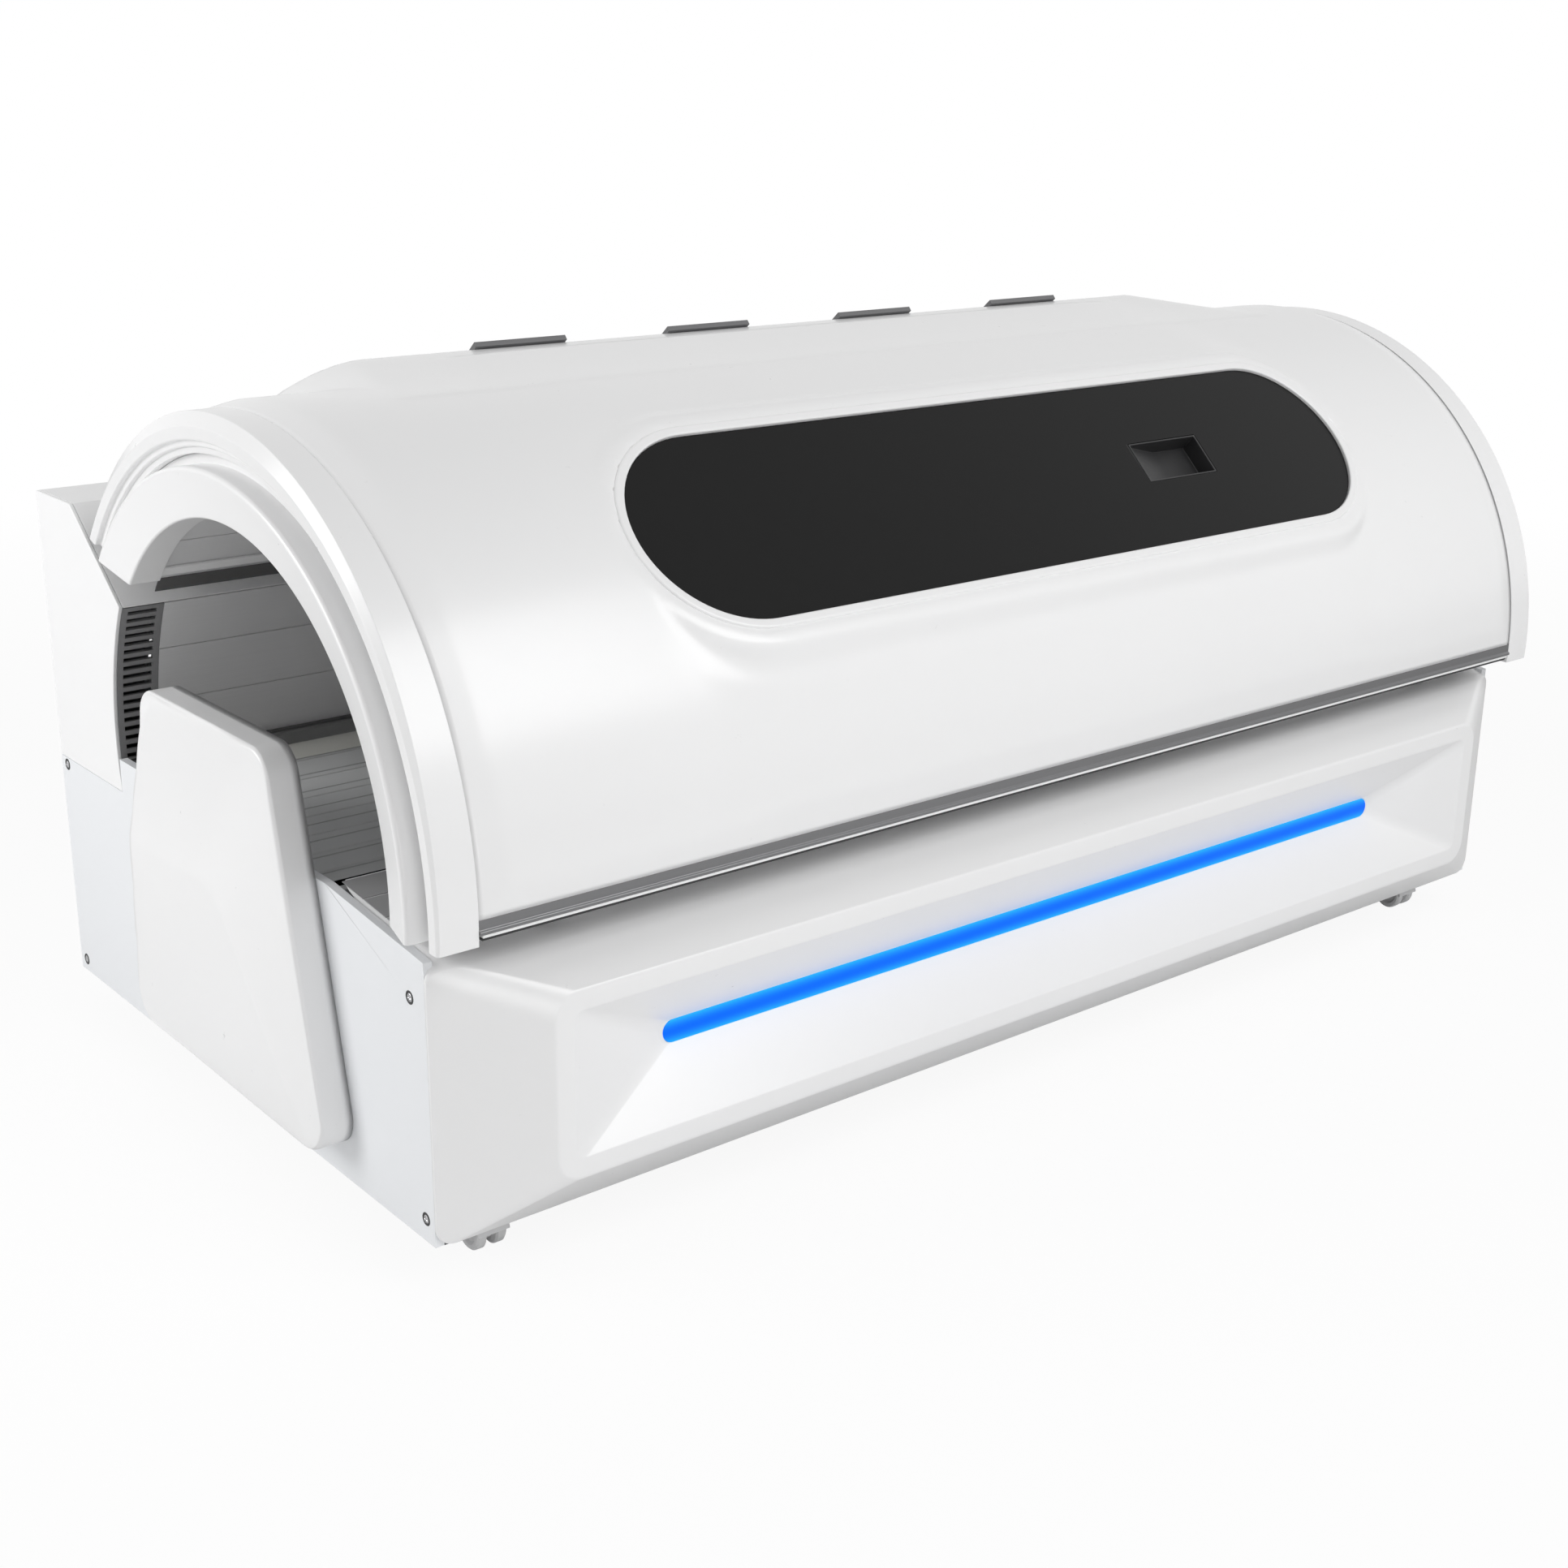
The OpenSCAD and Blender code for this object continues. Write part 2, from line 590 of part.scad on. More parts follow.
module air_grille() difference() {
    span_x(wall_x + 0.5, end_x - side_t) wall_2d(grille_t);
    slot_x = end_x - side_t - 9;
    for (k = [0:grille_slots - 1]) at_axis() rotate([wall_low_a + 0.5 + (k + 0.5)*pitch_a, 0, 0])
        block([slot_x - grille_w + 17, wall_r - 2, -slot_h/2], [slot_x, wall_r + grille_t + 2, slot_h/2]);
}
module right_air_grille() color("dimgray") air_grille();
module left_air_grille() color("dimgray") mirror([1, 0, 0]) air_grille();

// Lying surface
module bed_arc(r0, r1, half) intersection() {
    translate([bed_y, bed_axis_z]) difference() {
        circle(r1, $fn = 1800);
        circle(r0, $fn = 1800);
    }
    translate([bed_y - half, base_z]) square([2*half, deck_z + 10 - base_z]);
}
module bed_sheet() color([0.8, 0.92, 0.9, 0.4]) span_x(-inside_x + slip, inside_x - slip)
    bed_arc(bed_r, bed_r + bed_sheet_t, bed_sheet_w/2 - slip);
module bed_light_panel() color([0.55, 0.56, 0.57]) difference() {
    span_x(-inside_x + slip, inside_x - slip) bed_arc(led_r0, led_r0 + led_t, led_half - 2);
    for (k = [1:bed_strips - 1]) {
        y = bed_y - led_half + k*2*led_half/bed_strips;
        block([-end_x, y - 1.5, bed_arc_z(y, led_r0) - 4], [end_x, y + 1.5, deck_z]);
    }
}

// Pod
module pod_plate(inset_by, depth) for (c = [
        [pod_y0 + pod_corner_r, pod_z1 - pod_corner_r],
        [pod_y0 + pod_top_w - pod_corner_r, pod_z1 - pod_corner_r],
        [pod_low_y0 + pod_low_w - pod_corner_r, pod_z0 + pod_corner_r],
        [pod_low_y0 + pod_corner_r, pod_z0 + pod_corner_r]])
    translate([-end_x - depth, c[0], c[1]]) rotate([0, 90, 0])
        cylinder(depth, r = pod_corner_r - inset_by, $fn = hull_fn);
// Ridge of the pod: its highest point, the end of its level ridge and the foot of its falling one
module pod_ridge(inset_by) for (p = [
        [pod_peak, pod_y0 + 110, deck_z - 38],
        [pod_peak - 8, pod_low_y0 + pod_low_w - 110, deck_z - 60],
        [pod_peak - 20, pod_low_y0 + 62, pod_z0 + 44]])
    translate([-end_x - pod_wall_d - p[0] + 6, p[1], p[2]]) sphere(6 - inset_by/2, $fn = 16);
module end_pod() color(white) difference() {
    hull() {
        pod_plate(0, pod_wall_d);
        pod_ridge(0);
    }
    translate([pod_t, 0, 0]) hull() {
        pod_plate(pod_t, pod_wall_d);
        pod_ridge(pod_t);
    }
    block([-end_x - slip, -bed_w, 0], [-end_x + 2*pod_t, bed_w, cabinet_z]);
}

// Hinge bearings, lift struts and the electrical units
module hinge_bearings() color("darkgray") both_ends() for (x = [bearing_in, bearing_out])
    span_x(x - bearing_t/2, x + bearing_t/2) difference() {
        union() {
            translate(hinge) circle(hub_r - 1);
            polygon([[hinge[0], hinge[1] - hub_r + 1], [beam_y, hinge[1] - 20], [beam_y, hinge[1] + 20],
                     [hinge[0], hinge[1] + hub_r - 1]]);
        }
        translate(hinge) circle((shaft_d + fit)/2);
    }
module strut_cylinders() color("darkgray") both_ends() difference() {
    union() {
        translate([rod_x, rod_y, strut_low]) cylinder(strut_top - strut_low, d = strut_d);
        translate([rod_x, rod_y, strut_low]) cylinder(12, d = tube_w);
    }
    bore_low = rod_low - bore_more;
    translate([rod_x, rod_y, bore_low]) cylinder(strut_top - bore_low + 10, d = rod_d + fit);
}
module driver_units() color("silver") for (x = driver_xs) translate([x, driver_y, tray_top]) {
    difference() {
        cube(driver);
        for (k = [0:8]) translate([20 + k*21, -1, driver[2] - 12]) cube([6, driver[1] + 2, 14]);
    }
    translate([driver[0], 20, 6]) cube([18, driver[1] - 40, 30]);
}
module service_plate() color("silver") difference() {
    block([service_x - window_w/2 - 12, back_y - sheet_t - 2, service_z - window_h/2 - 12],
          [service_x + window_w/2 + 12, back_y - sheet_t, service_z + window_h/2 + 12]);
    translate([service_x + inlet_x, back_y, service_z]) cube([50, 20, 30], center = true);
    translate([service_x + rocker_x, back_y, service_z]) cube([20, 30, 2*rocker_half + 4], center = true);
}
module mains_inlet() color([0.1, 0.1, 0.1]) {
    translate([service_x + inlet_x, back_y - sheet_t, service_z]) difference() {
        union() {
            translate([-30, 0, -19]) cube([60, 2.5, 38]);
            translate([-24.7, -30, -14.7]) cube([49.4, 31, 29.4]);
        }
        translate([-20, -22, -10]) cube([40, 30, 20]);
    }
    translate([service_x + inlet_x, back_y - sheet_t - 24, service_z]) for (x = [-10, 0, 10])
        translate([x - 1, 0, -3]) cube([2, 18, 6]);
    // surround of the rocker
    translate([service_x + rocker_x, back_y - sheet_t, service_z]) difference() {
        union() {
            translate([-13, 0, -16]) cube([26, 2.5, 32]);
            translate([-9.7, -24, -12.7]) cube([19.4, 25, 25.4]);
        }
        translate([-7.5, -18, -rocker_half - 1.2]) cube([15, 30, 2*rocker_half + 2.4]);
        translate([0, rocker_y - back_y + sheet_t, 0]) rotate([0, 90, 0])
            cylinder(18, d = rocker_pin_d + fit, center = true);
    }
}
module power_rocker() color("black") translate([service_x + rocker_x, rocker_y, service_z])
    rotate([rocker_tilt, 0, 0]) {
        rotate([0, 90, 0]) cylinder(17, d = rocker_pin_d, center = true);
        rocker_cap();
    }
module rocker_cap() difference() {
        translate([-7, 0, 0]) rotate([90, 0, 90]) linear_extrude(14) polygon([
            [-3, -rocker_half + 2], [4, -rocker_half], [8.4, -rocker_half + 1], [6.6, 0],
            [8.4, rocker_half - 1], [4, rocker_half], [-3, rocker_half - 2]]);
        translate([-2.5, 7.2, -6.5]) cube([5, 3, 0.8]);
}
module canopy_stops() color([0.12, 0.12, 0.12]) for (x = [-900, 900]*bed_l/2108) {
    // they stand on the sloping deck, under the rear edge of the rail
    y = axis_y - rib_r0 - 8;
    z = front_z + (y - front_y)*deck_drop/(deck_front - 4 - front_y) + 1.2;
    translate([x, y, z]) cylinder(rail_bottom - slip - z, d = 16);
}

// Canopy
module shell_body(r, low) {
    h = shell_half;
    revolve_skin() polygon([[0, -h], [r - band_step, -h], [r, -h + shell_ramp],
                            [r, h - shell_ramp], [r - band_step, h], [0, h]]);
}
// The roof, rounded over at its left end and with a straight ramp at its right end
module roof_body(t) intersection() {
    span_x(-shell_half, shell_half) polygon([roof_start - t*roof_n, inset(ridge, roof_n, vent_n, t),
                                             roof_end - t*vent_n, skin_pt]);
    top = ridge[1] - t;
    reach = 0.1/roof_slope*shell_r;
    over = 8;
    span_y(axis_y - far, axis_y + far) union() {
        translate([-roof_half + over, ridge[1] - roof_round + 0.2]) circle(roof_round - t, $fn = 180);
        polygon([[-roof_half + over, 0], [-roof_half + over, top + 10],
                 [roof_half - 10/roof_slope, top + 10], [roof_half + reach, top - reach*roof_slope], [roof_half + reach, 0]]);
    }
}
// A raised obround with sloping sides
module obround_mound(c, r_top, r_low, depth) {
    both_ends() translate([c, 0, -depth]) cylinder(depth, r1 = r_low, r2 = r_top);
    rotate([90, 0, 90]) translate([0, 0, -c]) linear_extrude(2*c)
        polygon([[-r_low, -depth], [r_low, -depth], [r_top, 0], [-r_top, 0]]);
}
module obround(c, r, t) {
    both_ends() translate([c, 0, 0]) cylinder(t, r = r);
    translate([-c, -r, 0]) cube([2*c, 2*r, t]);
}
// The soft slope round the panel, with its top edge beyond the trim by one distance
module bezel_mound(beyond) {
    r = panel_r + trim_w + beyond;
    obround_mound(panel_c, r, r + bezel_w, bezel_d);
}
// The inside of the facet along the shell's front edge, moved in by the wall
module facet_region(t) {
    top = axis_z + shell_low + facet_h;
    top_y = skin_y - sqrt(shell_r*shell_r - pow(top - skin_z, 2)) + t;
    foot_y = skin_y - shell_r + facet_in + t;
    polygon([[axis_y - far, top], [top_y, top], [foot_y, axis_z + shell_low], [foot_y, axis_z - far],
             [axis_y + far, axis_z - far], [axis_y + far, axis_z + far], [axis_y - far, axis_z + far]]);
}
module faceted_body(r, t) intersection() {
    shell_body(r);
    span_x(-rim_half, rim_half) facet_region(t);
}
module canopy_shell() color(white) intersection() {
    difference() {
        union() {
            faceted_body(shell_r, 0);
            roof_body(0);
            on_panel(panel_off) bezel_mound(2);
        }
        difference() {
            union() {
                faceted_body(shell_in, shell_t);
                roof_body(shell_t);
                on_panel(bezel_top - shell_t) bezel_mound(shell_t);
            }
            // floor and wall of the trim's seat, which lies deeper than the shell at the round ends
            on_panel(bezel_top - shell_t - 1) obround(panel_c, panel_r + trim_w + shell_t, 40);
        }
        // seat of the trim, and the window behind the panel
        on_panel(bezel_top) obround(panel_c, panel_r + trim_w + slip, 20);
        on_panel(bezel_top - 2*shell_t) obround(panel_c, panel_r - 12, 3*shell_t);
        for (x = vent_xs) on_vent(x) cylinder(40, d = fan_d - 2, center = true);
    }
    span_x(-rim_half, rim_half) canopy_region(axis_z + shell_low);
}
module band() intersection() {
    low_r = ring_top_r + slip;
    h = rim_half;
    revolve_x() polygon([[low_r, h - band_w], [band_face_r + 27, h - band_w], [band_face_r + 27, h - 18],
        [band_face_r, h], [low_r + 18, h], [low_r + 18, h - 8], [low_r + 9, h - 8],
        [low_r + 9, h - 14], [low_r, h - 14]]);
    revolve_skin() translate([0, h - band_w - 1]) square([band_r, band_w + 2]);
    span_x(0, rim_half) canopy_region(axis_z - band_low);
}
module right_end_band() color(white) band();
module left_end_band() color(white) mirror([1, 0, 0]) band();
module end_ring() intersection() {
    h = rim_half;
    out = h + ring_out;
    revolve_x() polygon([[ring_r, h - ring_w], [ring_top_r, h - ring_w], [ring_top_r, h - 24],
        [ring_side_r, h - 24], [ring_side_r, out - 5], [ring_side_r - 5, out], [ring_r, h - 6]]);
    span_x(0, rim_half + ring_out) canopy_region(axis_z - band_low);
}
module right_end_ring() color(white) end_ring();
module left_end_ring() color(white) mirror([1, 0, 0]) end_ring();
module canopy_light_panel() color([0.5, 0.5, 0.51]) difference() {
    span_x(-led_half_x, led_half_x) intersection() {
        ring_2d(led_r, led_r + led_t + 2);
        canopy_region(axis_z - 14);
    }
    for (k = [1:canopy_strips - 1]) at_axis() rotate([42 + k*(181 - 42)/canopy_strips, 0, 0])
        block([-end_x, led_r - 2, -1.5], [end_x, led_r + 4, 1.5]);
}
module canopy_rail() color([0.5, 0.51, 0.53]) span_x(-rim_half + band_w, rim_half - band_w) {
    top = axis_z + shell_low - slip;
    polygon([[rail_face, top], [rail_face, rail_bottom + 6], [rail_face - rail_lip, rail_bottom + 4.5],
        [rail_face - rail_lip, rail_bottom + 1], [rail_face - 2, rail_bottom],
        [axis_y - rib_r0, rail_bottom], [axis_y - rib_r0, rail_bottom + 4],
        [rail_face + rail_depth, rail_bottom + 4],
        [rail_face + rail_depth, top]]);
}
module canopy_ribs() color("gray") for (x = canopy_rib_xs) difference() {
    span_x(x - canopy_rib_t/2, x + canopy_rib_t/2) intersection() {
        difference() {
            translate(skin_pt) circle(rib_r1, $fn = 180);
            translate(axis_pt) circle(rib_r0, $fn = 180);
        }
        facet_region(shell_t + slip);
        canopy_region(axis_z + shell_low);
    }
    // clear of the hollow behind the front panel
    on_panel(bezel_top - shell_t)
        block([-panel_c - panel_r - 60, -panel_r - 40, -30], [panel_c + panel_r + 60, panel_r + 40, 40]);
    for (a = [52, 66, 80, 166]) at_axis() rotate([a, 0, 0]) translate([x, (rib_r0 + rib_r1)/2, 0])
        rotate([0, 90, 0]) cylinder(canopy_rib_t + 2, r = 26, center = true);
}
module panel_trim() color("white") on_panel(bezel_top) difference() {
    obround(panel_c, panel_r + trim_w, glass_t + 5);
    translate([0, 0, -1]) obround(panel_c, panel_r + slip, glass_t + 8);
}
module pull_opening(grow, depth) translate([pull_x - pull_w/2 - grow, -pull_h/2 - grow, -depth])
    cube([pull_w + 2*grow, pull_h + 2*grow, depth]);
module front_panel() color([0.16, 0.16, 0.16]) on_panel(bezel_top) difference() {
    obround(panel_c, panel_r, glass_t);
    translate([0, 0, 2*glass_t]) pull_opening(0, 4*glass_t);
}
module hand_pull() color([0.2, 0.2, 0.2]) on_panel(panel_off) difference() {
    union() {
        pull_opening(-slip, 2*glass_t);
        translate([0, 0, -glass_t]) pull_opening(3, pull_d - glass_t);
    }
    difference() {
        translate([0, 0, 1]) pull_opening(-pull_wall, pull_d - pull_wall + 1);
        // ramp that the fingers run up, on the left of the pocket
        left = pull_x - pull_w/2;
        foot = left + ramp_share*pull_w;
        span_y(-pull_h, pull_h)
            polygon([[left, -4], [foot, pull_wall - pull_d], [foot, -pull_d], [left, -pull_d]]);
    }
}

// Hinge shaft, arms and cranks, which turn with the canopy
module hinge_shaft() color("silver") translate([-shaft_half, hinge[0], hinge[1]]) rotate([0, 90, 0])
    cylinder(2*shaft_half, d = shaft_d);
module arm_outline() difference() {
    union() {
        translate(hinge) circle(hub_r);
        polygon([hinge + hub_r*[0, -1], axis_pt + (rib_r0 + 15)*arm_a0, axis_pt + (rib_r0 + 20)*arm_a1,
                 skin_pt + (rib_r1 - 9)*arm_a1, skin_pt + (rib_r1 - 9)*arm_a0, arm_edge,
                 hinge + hub_r*[0, 1]]);
    }
    translate(hinge) circle((shaft_d + fit)/2);
}
module hinge_arms() color("darkgray") both_ends() span_x(arm_x - arm_t/2, arm_x + arm_t/2) arm_outline();
module crank_levers() color("darkgray") both_ends() {
    pin = hinge + crank_r*[cos(open_a/2), sin(open_a/2)];
    across = [-sin(open_a/2), cos(open_a/2)];
    span_x(crank_x - crank_t/2, crank_x + crank_t/2) difference() {
        union() {
            translate(hinge) circle(hub_r);
            translate(pin) circle(pin_d);
            polygon([hinge + hub_r*across, hinge - hub_r*across, pin - pin_d*across, pin + pin_d*across]);
        }
        translate(hinge) circle((shaft_d + fit)/2);
    }
    translate([crank_x, pin[0], pin[1]]) rotate([0, 90, 0])
        cylinder(rod_x - crank_x + eye_t/2 + 4, d = pin_d);
}
module strut_rod() difference() {
    union() {
        translate([rod_x, rod_y, rod_low]) cylinder(rod_top - rod_low, d = rod_d);
        translate([rod_x - eye_t/2, rod_y - slot_half_y - 6, rod_top - slot_half_z - 8])
            cube([eye_t, 2*slot_half_y + 12, 2*slot_half_z + 14]);
    }
    translate([rod_x, rod_y, rod_top]) cube([20, 2*slot_half_y, 2*slot_half_z], center = true);
}
module right_strut_rod() color("silver") strut_rod();
module left_strut_rod() color("silver") mirror([1, 0, 0]) strut_rod();

// Roof vents
module fan_frames() color([0.12, 0.12, 0.12]) for (x = vent_xs) on_vent(x)
    translate([0, 0, fan_back]) {
        difference() {
            translate([-fan_w/2, -fan_w/2, 0]) cube([fan_w, fan_w, fan_t]);
            translate([0, 0, -1]) cylinder(fan_t + 2, d = fan_d);
        }
        intersection() {
            for (k = [0:2]) rotate([0, 0, 30 + 120*k]) translate([0, -3, 0]) cube([fan_w/2, 6, 3]);
            cylinder(3, d = fan_d + 2);
        }
        cylinder(3, d = 42);
        cylinder(fan_t - 6, d = 6);
    }
module fan_rotor(x) color([0.18, 0.18, 0.18]) on_vent(x) translate([0, 0, fan_back + 4]) difference() {
    union() {
        cylinder(rotor_t, d = 40);
        intersection() {
            for (k = [0:fan_blades - 1]) rotate([0, 0, k*360/fan_blades])
                translate([fan_d/4 + 4, 0, rotor_t/2]) rotate([38, 0, 0])
                cube([fan_d/2 - 10, 26, 1.6], center = true);
            cylinder(rotor_t, d = fan_d - 4);
        }
    }
    translate([0, 0, -1]) cylinder(rotor_t - 2, d = 6 + fit);
}
module vent_grilles() color([0.45, 0.45, 0.46]) for (x = vent_xs) on_vent(x) {
    top = -fan_mid - 4;
    low = vent_len - fan_mid - 24;
    difference() {
        translate([-vent_w/2, top, 0]) cube([vent_w, low - top, vent_h]);
        translate([-vent_w/2 + 8, top + 12, -1]) cube([vent_w - 16, low - top - 22, vent_h + 2]);
    }
    pitch = (low - top - 32)/(louvre_n - 1);
    for (k = [0:louvre_n - 1]) translate([-vent_w/2 + 7, top + 14 + k*pitch, 1.4])
        rotate([-louvre_a, 0, 0]) cube([vent_w - 14, 2, vent_h - 1.5]);
}

// Casters
module at_casters() for (sx = [-1, 1], y = caster_ys) translate([sx*caster_x, y, 0]) children();
module caster_plates() color("silver") at_casters() difference() {
    union() {
        translate([-30, -25, plate_z]) cube([60, 50, plate_t]);
        translate([0, 0, pin_low]) cylinder(plate_z - pin_low, d = kingpin_d);
    }
    for (x = [-23, 23], y = [-18, 18]) translate([x, y, plate_z - 1]) cylinder(plate_t + 2, d = 6);
}
module fork(sx, y) color([0.75, 0.75, 0.76]) translate([sx*caster_x, y, 0]) difference() {
    union() {
        // web between the wheels, the hood over them and the swivel boss
        translate([-web_t/2, 0, 0]) rotate([90, 0, 90]) linear_extrude(web_t) polygon([
            [-9, plate_z - slip], [9, plate_z - slip], [9, 40], [trail + 16, 22], [trail + 8, 12],
            [trail - 8, 12], [-9, 34]]);
        translate([0, 0, wheel_d + 2]) cylinder(plate_z - slip - wheel_d - 2, d = 28);
        hood_half = web_t/2 + wheel_w + 1;
        translate([-hood_half, trail, axle_z]) rotate([90, 0, 90])
            linear_extrude(2*hood_half) difference() {
                circle(wheel_d/2 + 4);
                circle(wheel_d/2 + 1.5);
                polygon([[0, 0], [60, -20], [60, -60], [-60, -60], [-60, 6]]);
            }
    }
    translate([0, 0, pin_low - 1]) cylinder(60, d = kingpin_d + fit);
    translate([0, trail, axle_z]) rotate([0, 90, 0]) cylinder(web_t + 2, d = axle_d + fit, center = true);
}
module front_left_fork() fork(-1, caster_ys[0]);
module front_right_fork() fork(1, caster_ys[0]);
module rear_left_fork() fork(-1, caster_ys[1]);
module rear_right_fork() fork(1, caster_ys[1]);
module wheel_pair(sx, y) color([0.7, 0.7, 0.71])
    translate([sx*caster_x, y + trail, axle_z]) rotate([0, 90, 0]) {
        cylinder(web_t + 2*wheel_w - 8, d = axle_d, center = true);
        r = wheel_d/2;
        both_sides() translate([0, 0, web_t/2 + 0.5]) rotate_extrude() polygon([
            [0, 0], [r - 3, 0], [r, 2], [r, wheel_w - 4], [r - 3, wheel_w - 1],
            [r - 8, wheel_w - 1], [r - 11, wheel_w - 5], [0, wheel_w - 5]]);
    }
module both_sides() { children(); mirror([0, 0, 1]) children(); }
module front_left_wheels() wheel_pair(-1, caster_ys[0]);
module front_right_wheels() wheel_pair(1, caster_ys[0]);
module rear_left_wheels() wheel_pair(-1, caster_ys[1]);
module rear_right_wheels() wheel_pair(1, caster_ys[1]);

module place() translate(-mid) children();
place() frame_tubes();
place() frame_posts();
place() base_tray();
place() front_fascia();
place() light_bar();
place() light_bar_board();
place() front_deck();
place() rear_sill();
place() left_end_panel();
place() right_end_panel();
place() end_panel_screws();
place() left_cabinet_side();
place() right_cabinet_side();
place() cabinet_back();
place() cabinet_top();
place() cabinet_ribs();
place() bed_sheet();
place() bed_light_panel();
place() rear_light_panel();
place() left_air_grille();
place() right_air_grille();
place() end_pod();
place() hinge_bearings();
place() strut_cylinders();
place() driver_units();
place() service_plate();
place() mains_inlet();
place() power_rocker();
place() canopy_stops();
place() canopy_shell();
place() left_end_band();
place() right_end_band();
place() left_end_ring();
place() right_end_ring();
place() canopy_light_panel();
place() canopy_rail();
place() canopy_ribs();
place() panel_trim();
place() front_panel();
place() hand_pull();
place() hinge_shaft();
place() hinge_arms();
place() crank_levers();
place() fan_frames();
place() vent_grilles();
place() fan_rotor(vent_xs[0]);  // fan_rotor_1
place() fan_rotor(vent_xs[1]);  // fan_rotor_2
place() fan_rotor(vent_xs[2]);  // fan_rotor_3
place() fan_rotor(vent_xs[3]);  // fan_rotor_4
place() left_strut_rod();
place() right_strut_rod();
place() caster_plates();
place() front_left_fork();
place() front_right_fork();
place() rear_left_fork();
place() rear_right_fork();
place() front_left_wheels();
place() front_right_wheels();
place() rear_left_wheels();
place() rear_right_wheels();
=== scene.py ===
# %% [markdown]
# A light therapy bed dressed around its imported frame.
# The frame gives every part at its real size. This file adds what the eye sees: smooth mouldings with soft
# edges, gloss, powder coat and metal, and the light that shows them. Each piece rides on a body of the frame.

# %% Load the frame
import json
from math import atan2, cos, dist, pi, radians, sin, sqrt, tan

import bmesh
import bpy
import numpy as np
from mathutils import Matrix, Vector

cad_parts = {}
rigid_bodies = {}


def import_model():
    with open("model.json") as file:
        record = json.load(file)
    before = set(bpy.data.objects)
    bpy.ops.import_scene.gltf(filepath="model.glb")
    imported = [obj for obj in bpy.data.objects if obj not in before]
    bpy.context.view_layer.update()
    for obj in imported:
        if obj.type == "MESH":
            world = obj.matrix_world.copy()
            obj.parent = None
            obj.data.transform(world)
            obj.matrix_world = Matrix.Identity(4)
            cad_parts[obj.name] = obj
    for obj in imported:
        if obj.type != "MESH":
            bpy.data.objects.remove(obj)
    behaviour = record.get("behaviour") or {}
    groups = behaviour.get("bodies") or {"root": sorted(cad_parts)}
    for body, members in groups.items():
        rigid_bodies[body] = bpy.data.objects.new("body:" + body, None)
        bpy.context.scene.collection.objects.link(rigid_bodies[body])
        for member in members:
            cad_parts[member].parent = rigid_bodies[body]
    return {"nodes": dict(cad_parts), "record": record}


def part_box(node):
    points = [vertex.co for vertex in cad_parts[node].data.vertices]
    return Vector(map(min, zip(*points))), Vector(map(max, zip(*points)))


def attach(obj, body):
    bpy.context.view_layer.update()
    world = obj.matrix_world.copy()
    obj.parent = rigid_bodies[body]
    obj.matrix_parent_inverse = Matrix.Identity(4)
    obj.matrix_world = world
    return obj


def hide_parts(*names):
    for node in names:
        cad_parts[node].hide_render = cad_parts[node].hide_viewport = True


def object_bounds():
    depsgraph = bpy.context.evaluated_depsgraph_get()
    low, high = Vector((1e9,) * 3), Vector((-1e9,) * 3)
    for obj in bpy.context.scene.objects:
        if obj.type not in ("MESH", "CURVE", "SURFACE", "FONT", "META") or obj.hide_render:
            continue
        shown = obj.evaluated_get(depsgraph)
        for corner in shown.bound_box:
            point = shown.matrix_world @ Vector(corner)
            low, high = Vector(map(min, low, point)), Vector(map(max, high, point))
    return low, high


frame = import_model()
cad_low, cad_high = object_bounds()
scene_objects = bpy.context.scene.collection.objects
body_of = {node: body for body, nodes in frame["record"]["behaviour"]["bodies"].items() for node in nodes}
print("frame size", [round(v, 4) for v in cad_high - cad_low])

# %% [markdown]
# The camera stands where the photographer's did: in front of the left end, a little above the canopy.
# Its place, its lens and its slight roll come from the bed's own straight edges.

# %% Camera
photo_px = 1932
focal_px = 2666.9
sensor_mm = 36.0
camera_at = Vector((-2.166, -2.5415, 1.430))


def place_camera(azimuth, elevation, roll):
    """Sets a camera that looks along its azimuth and elevation, with a roll about its own view."""
    level = cos(elevation)
    back = Vector((sin(azimuth)*level, -cos(azimuth)*level, sin(elevation)))
    right = (-back).cross(Vector((0, 0, 1))).normalized()
    up = right.cross(-back)
    turned = right*cos(roll) + up*sin(roll)
    risen = up*cos(roll) - right*sin(roll)
    data = bpy.data.cameras.new("photo_camera")
    data.sensor_width = sensor_mm
    data.lens = sensor_mm*focal_px/photo_px
    camera = bpy.data.objects.new("photo_camera", data)
    camera.matrix_world = Matrix.Translation(camera_at) @ Matrix((turned, risen, back)).transposed().to_4x4()
    scene_objects.link(camera)
    bpy.context.scene.camera = camera
    return camera


camera = place_camera(*(radians(angle) for angle in (-39.33, 18.58, 0.65)))
print("lens", round(camera.data.lens, 2), "mm")

# %% [markdown]
# The canopy is a set of arcs. Its inside, its rings and its light panel are round about one axis, and its
# outer skin about a second one just above and behind. Both run along the bed, and every later piece of the
# canopy is drawn from them.

# %% Axes and middle
shell_low, shell_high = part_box("canopy_shell")
band_low, band_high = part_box("right_end_band")
mid_x = (shell_low.x + shell_high.x)/2
mid_y = 0.0375
shell_half = (shell_high.x - shell_low.x)/2
rim_half = band_high.x - mid_x
ring_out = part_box("right_end_ring")[1].x - mid_x
band_in = band_low.x - mid_x
axis_y, axis_z = -0.0595, 0.489
skin_y, skin_z = axis_y + 0.006, axis_z + 0.008
shell_r, band_r = 0.521, 0.513
print("half lengths", [round(v, 4) for v in (shell_half, band_in, rim_half, ring_out)])

# %% [markdown]
# Materials first. Three effects come back in many finishes, so each is a node group with its own inputs: the
# faint mottle and orange peel of a gloss moulding, the grain of powder coat, and the lines of drawn metal.

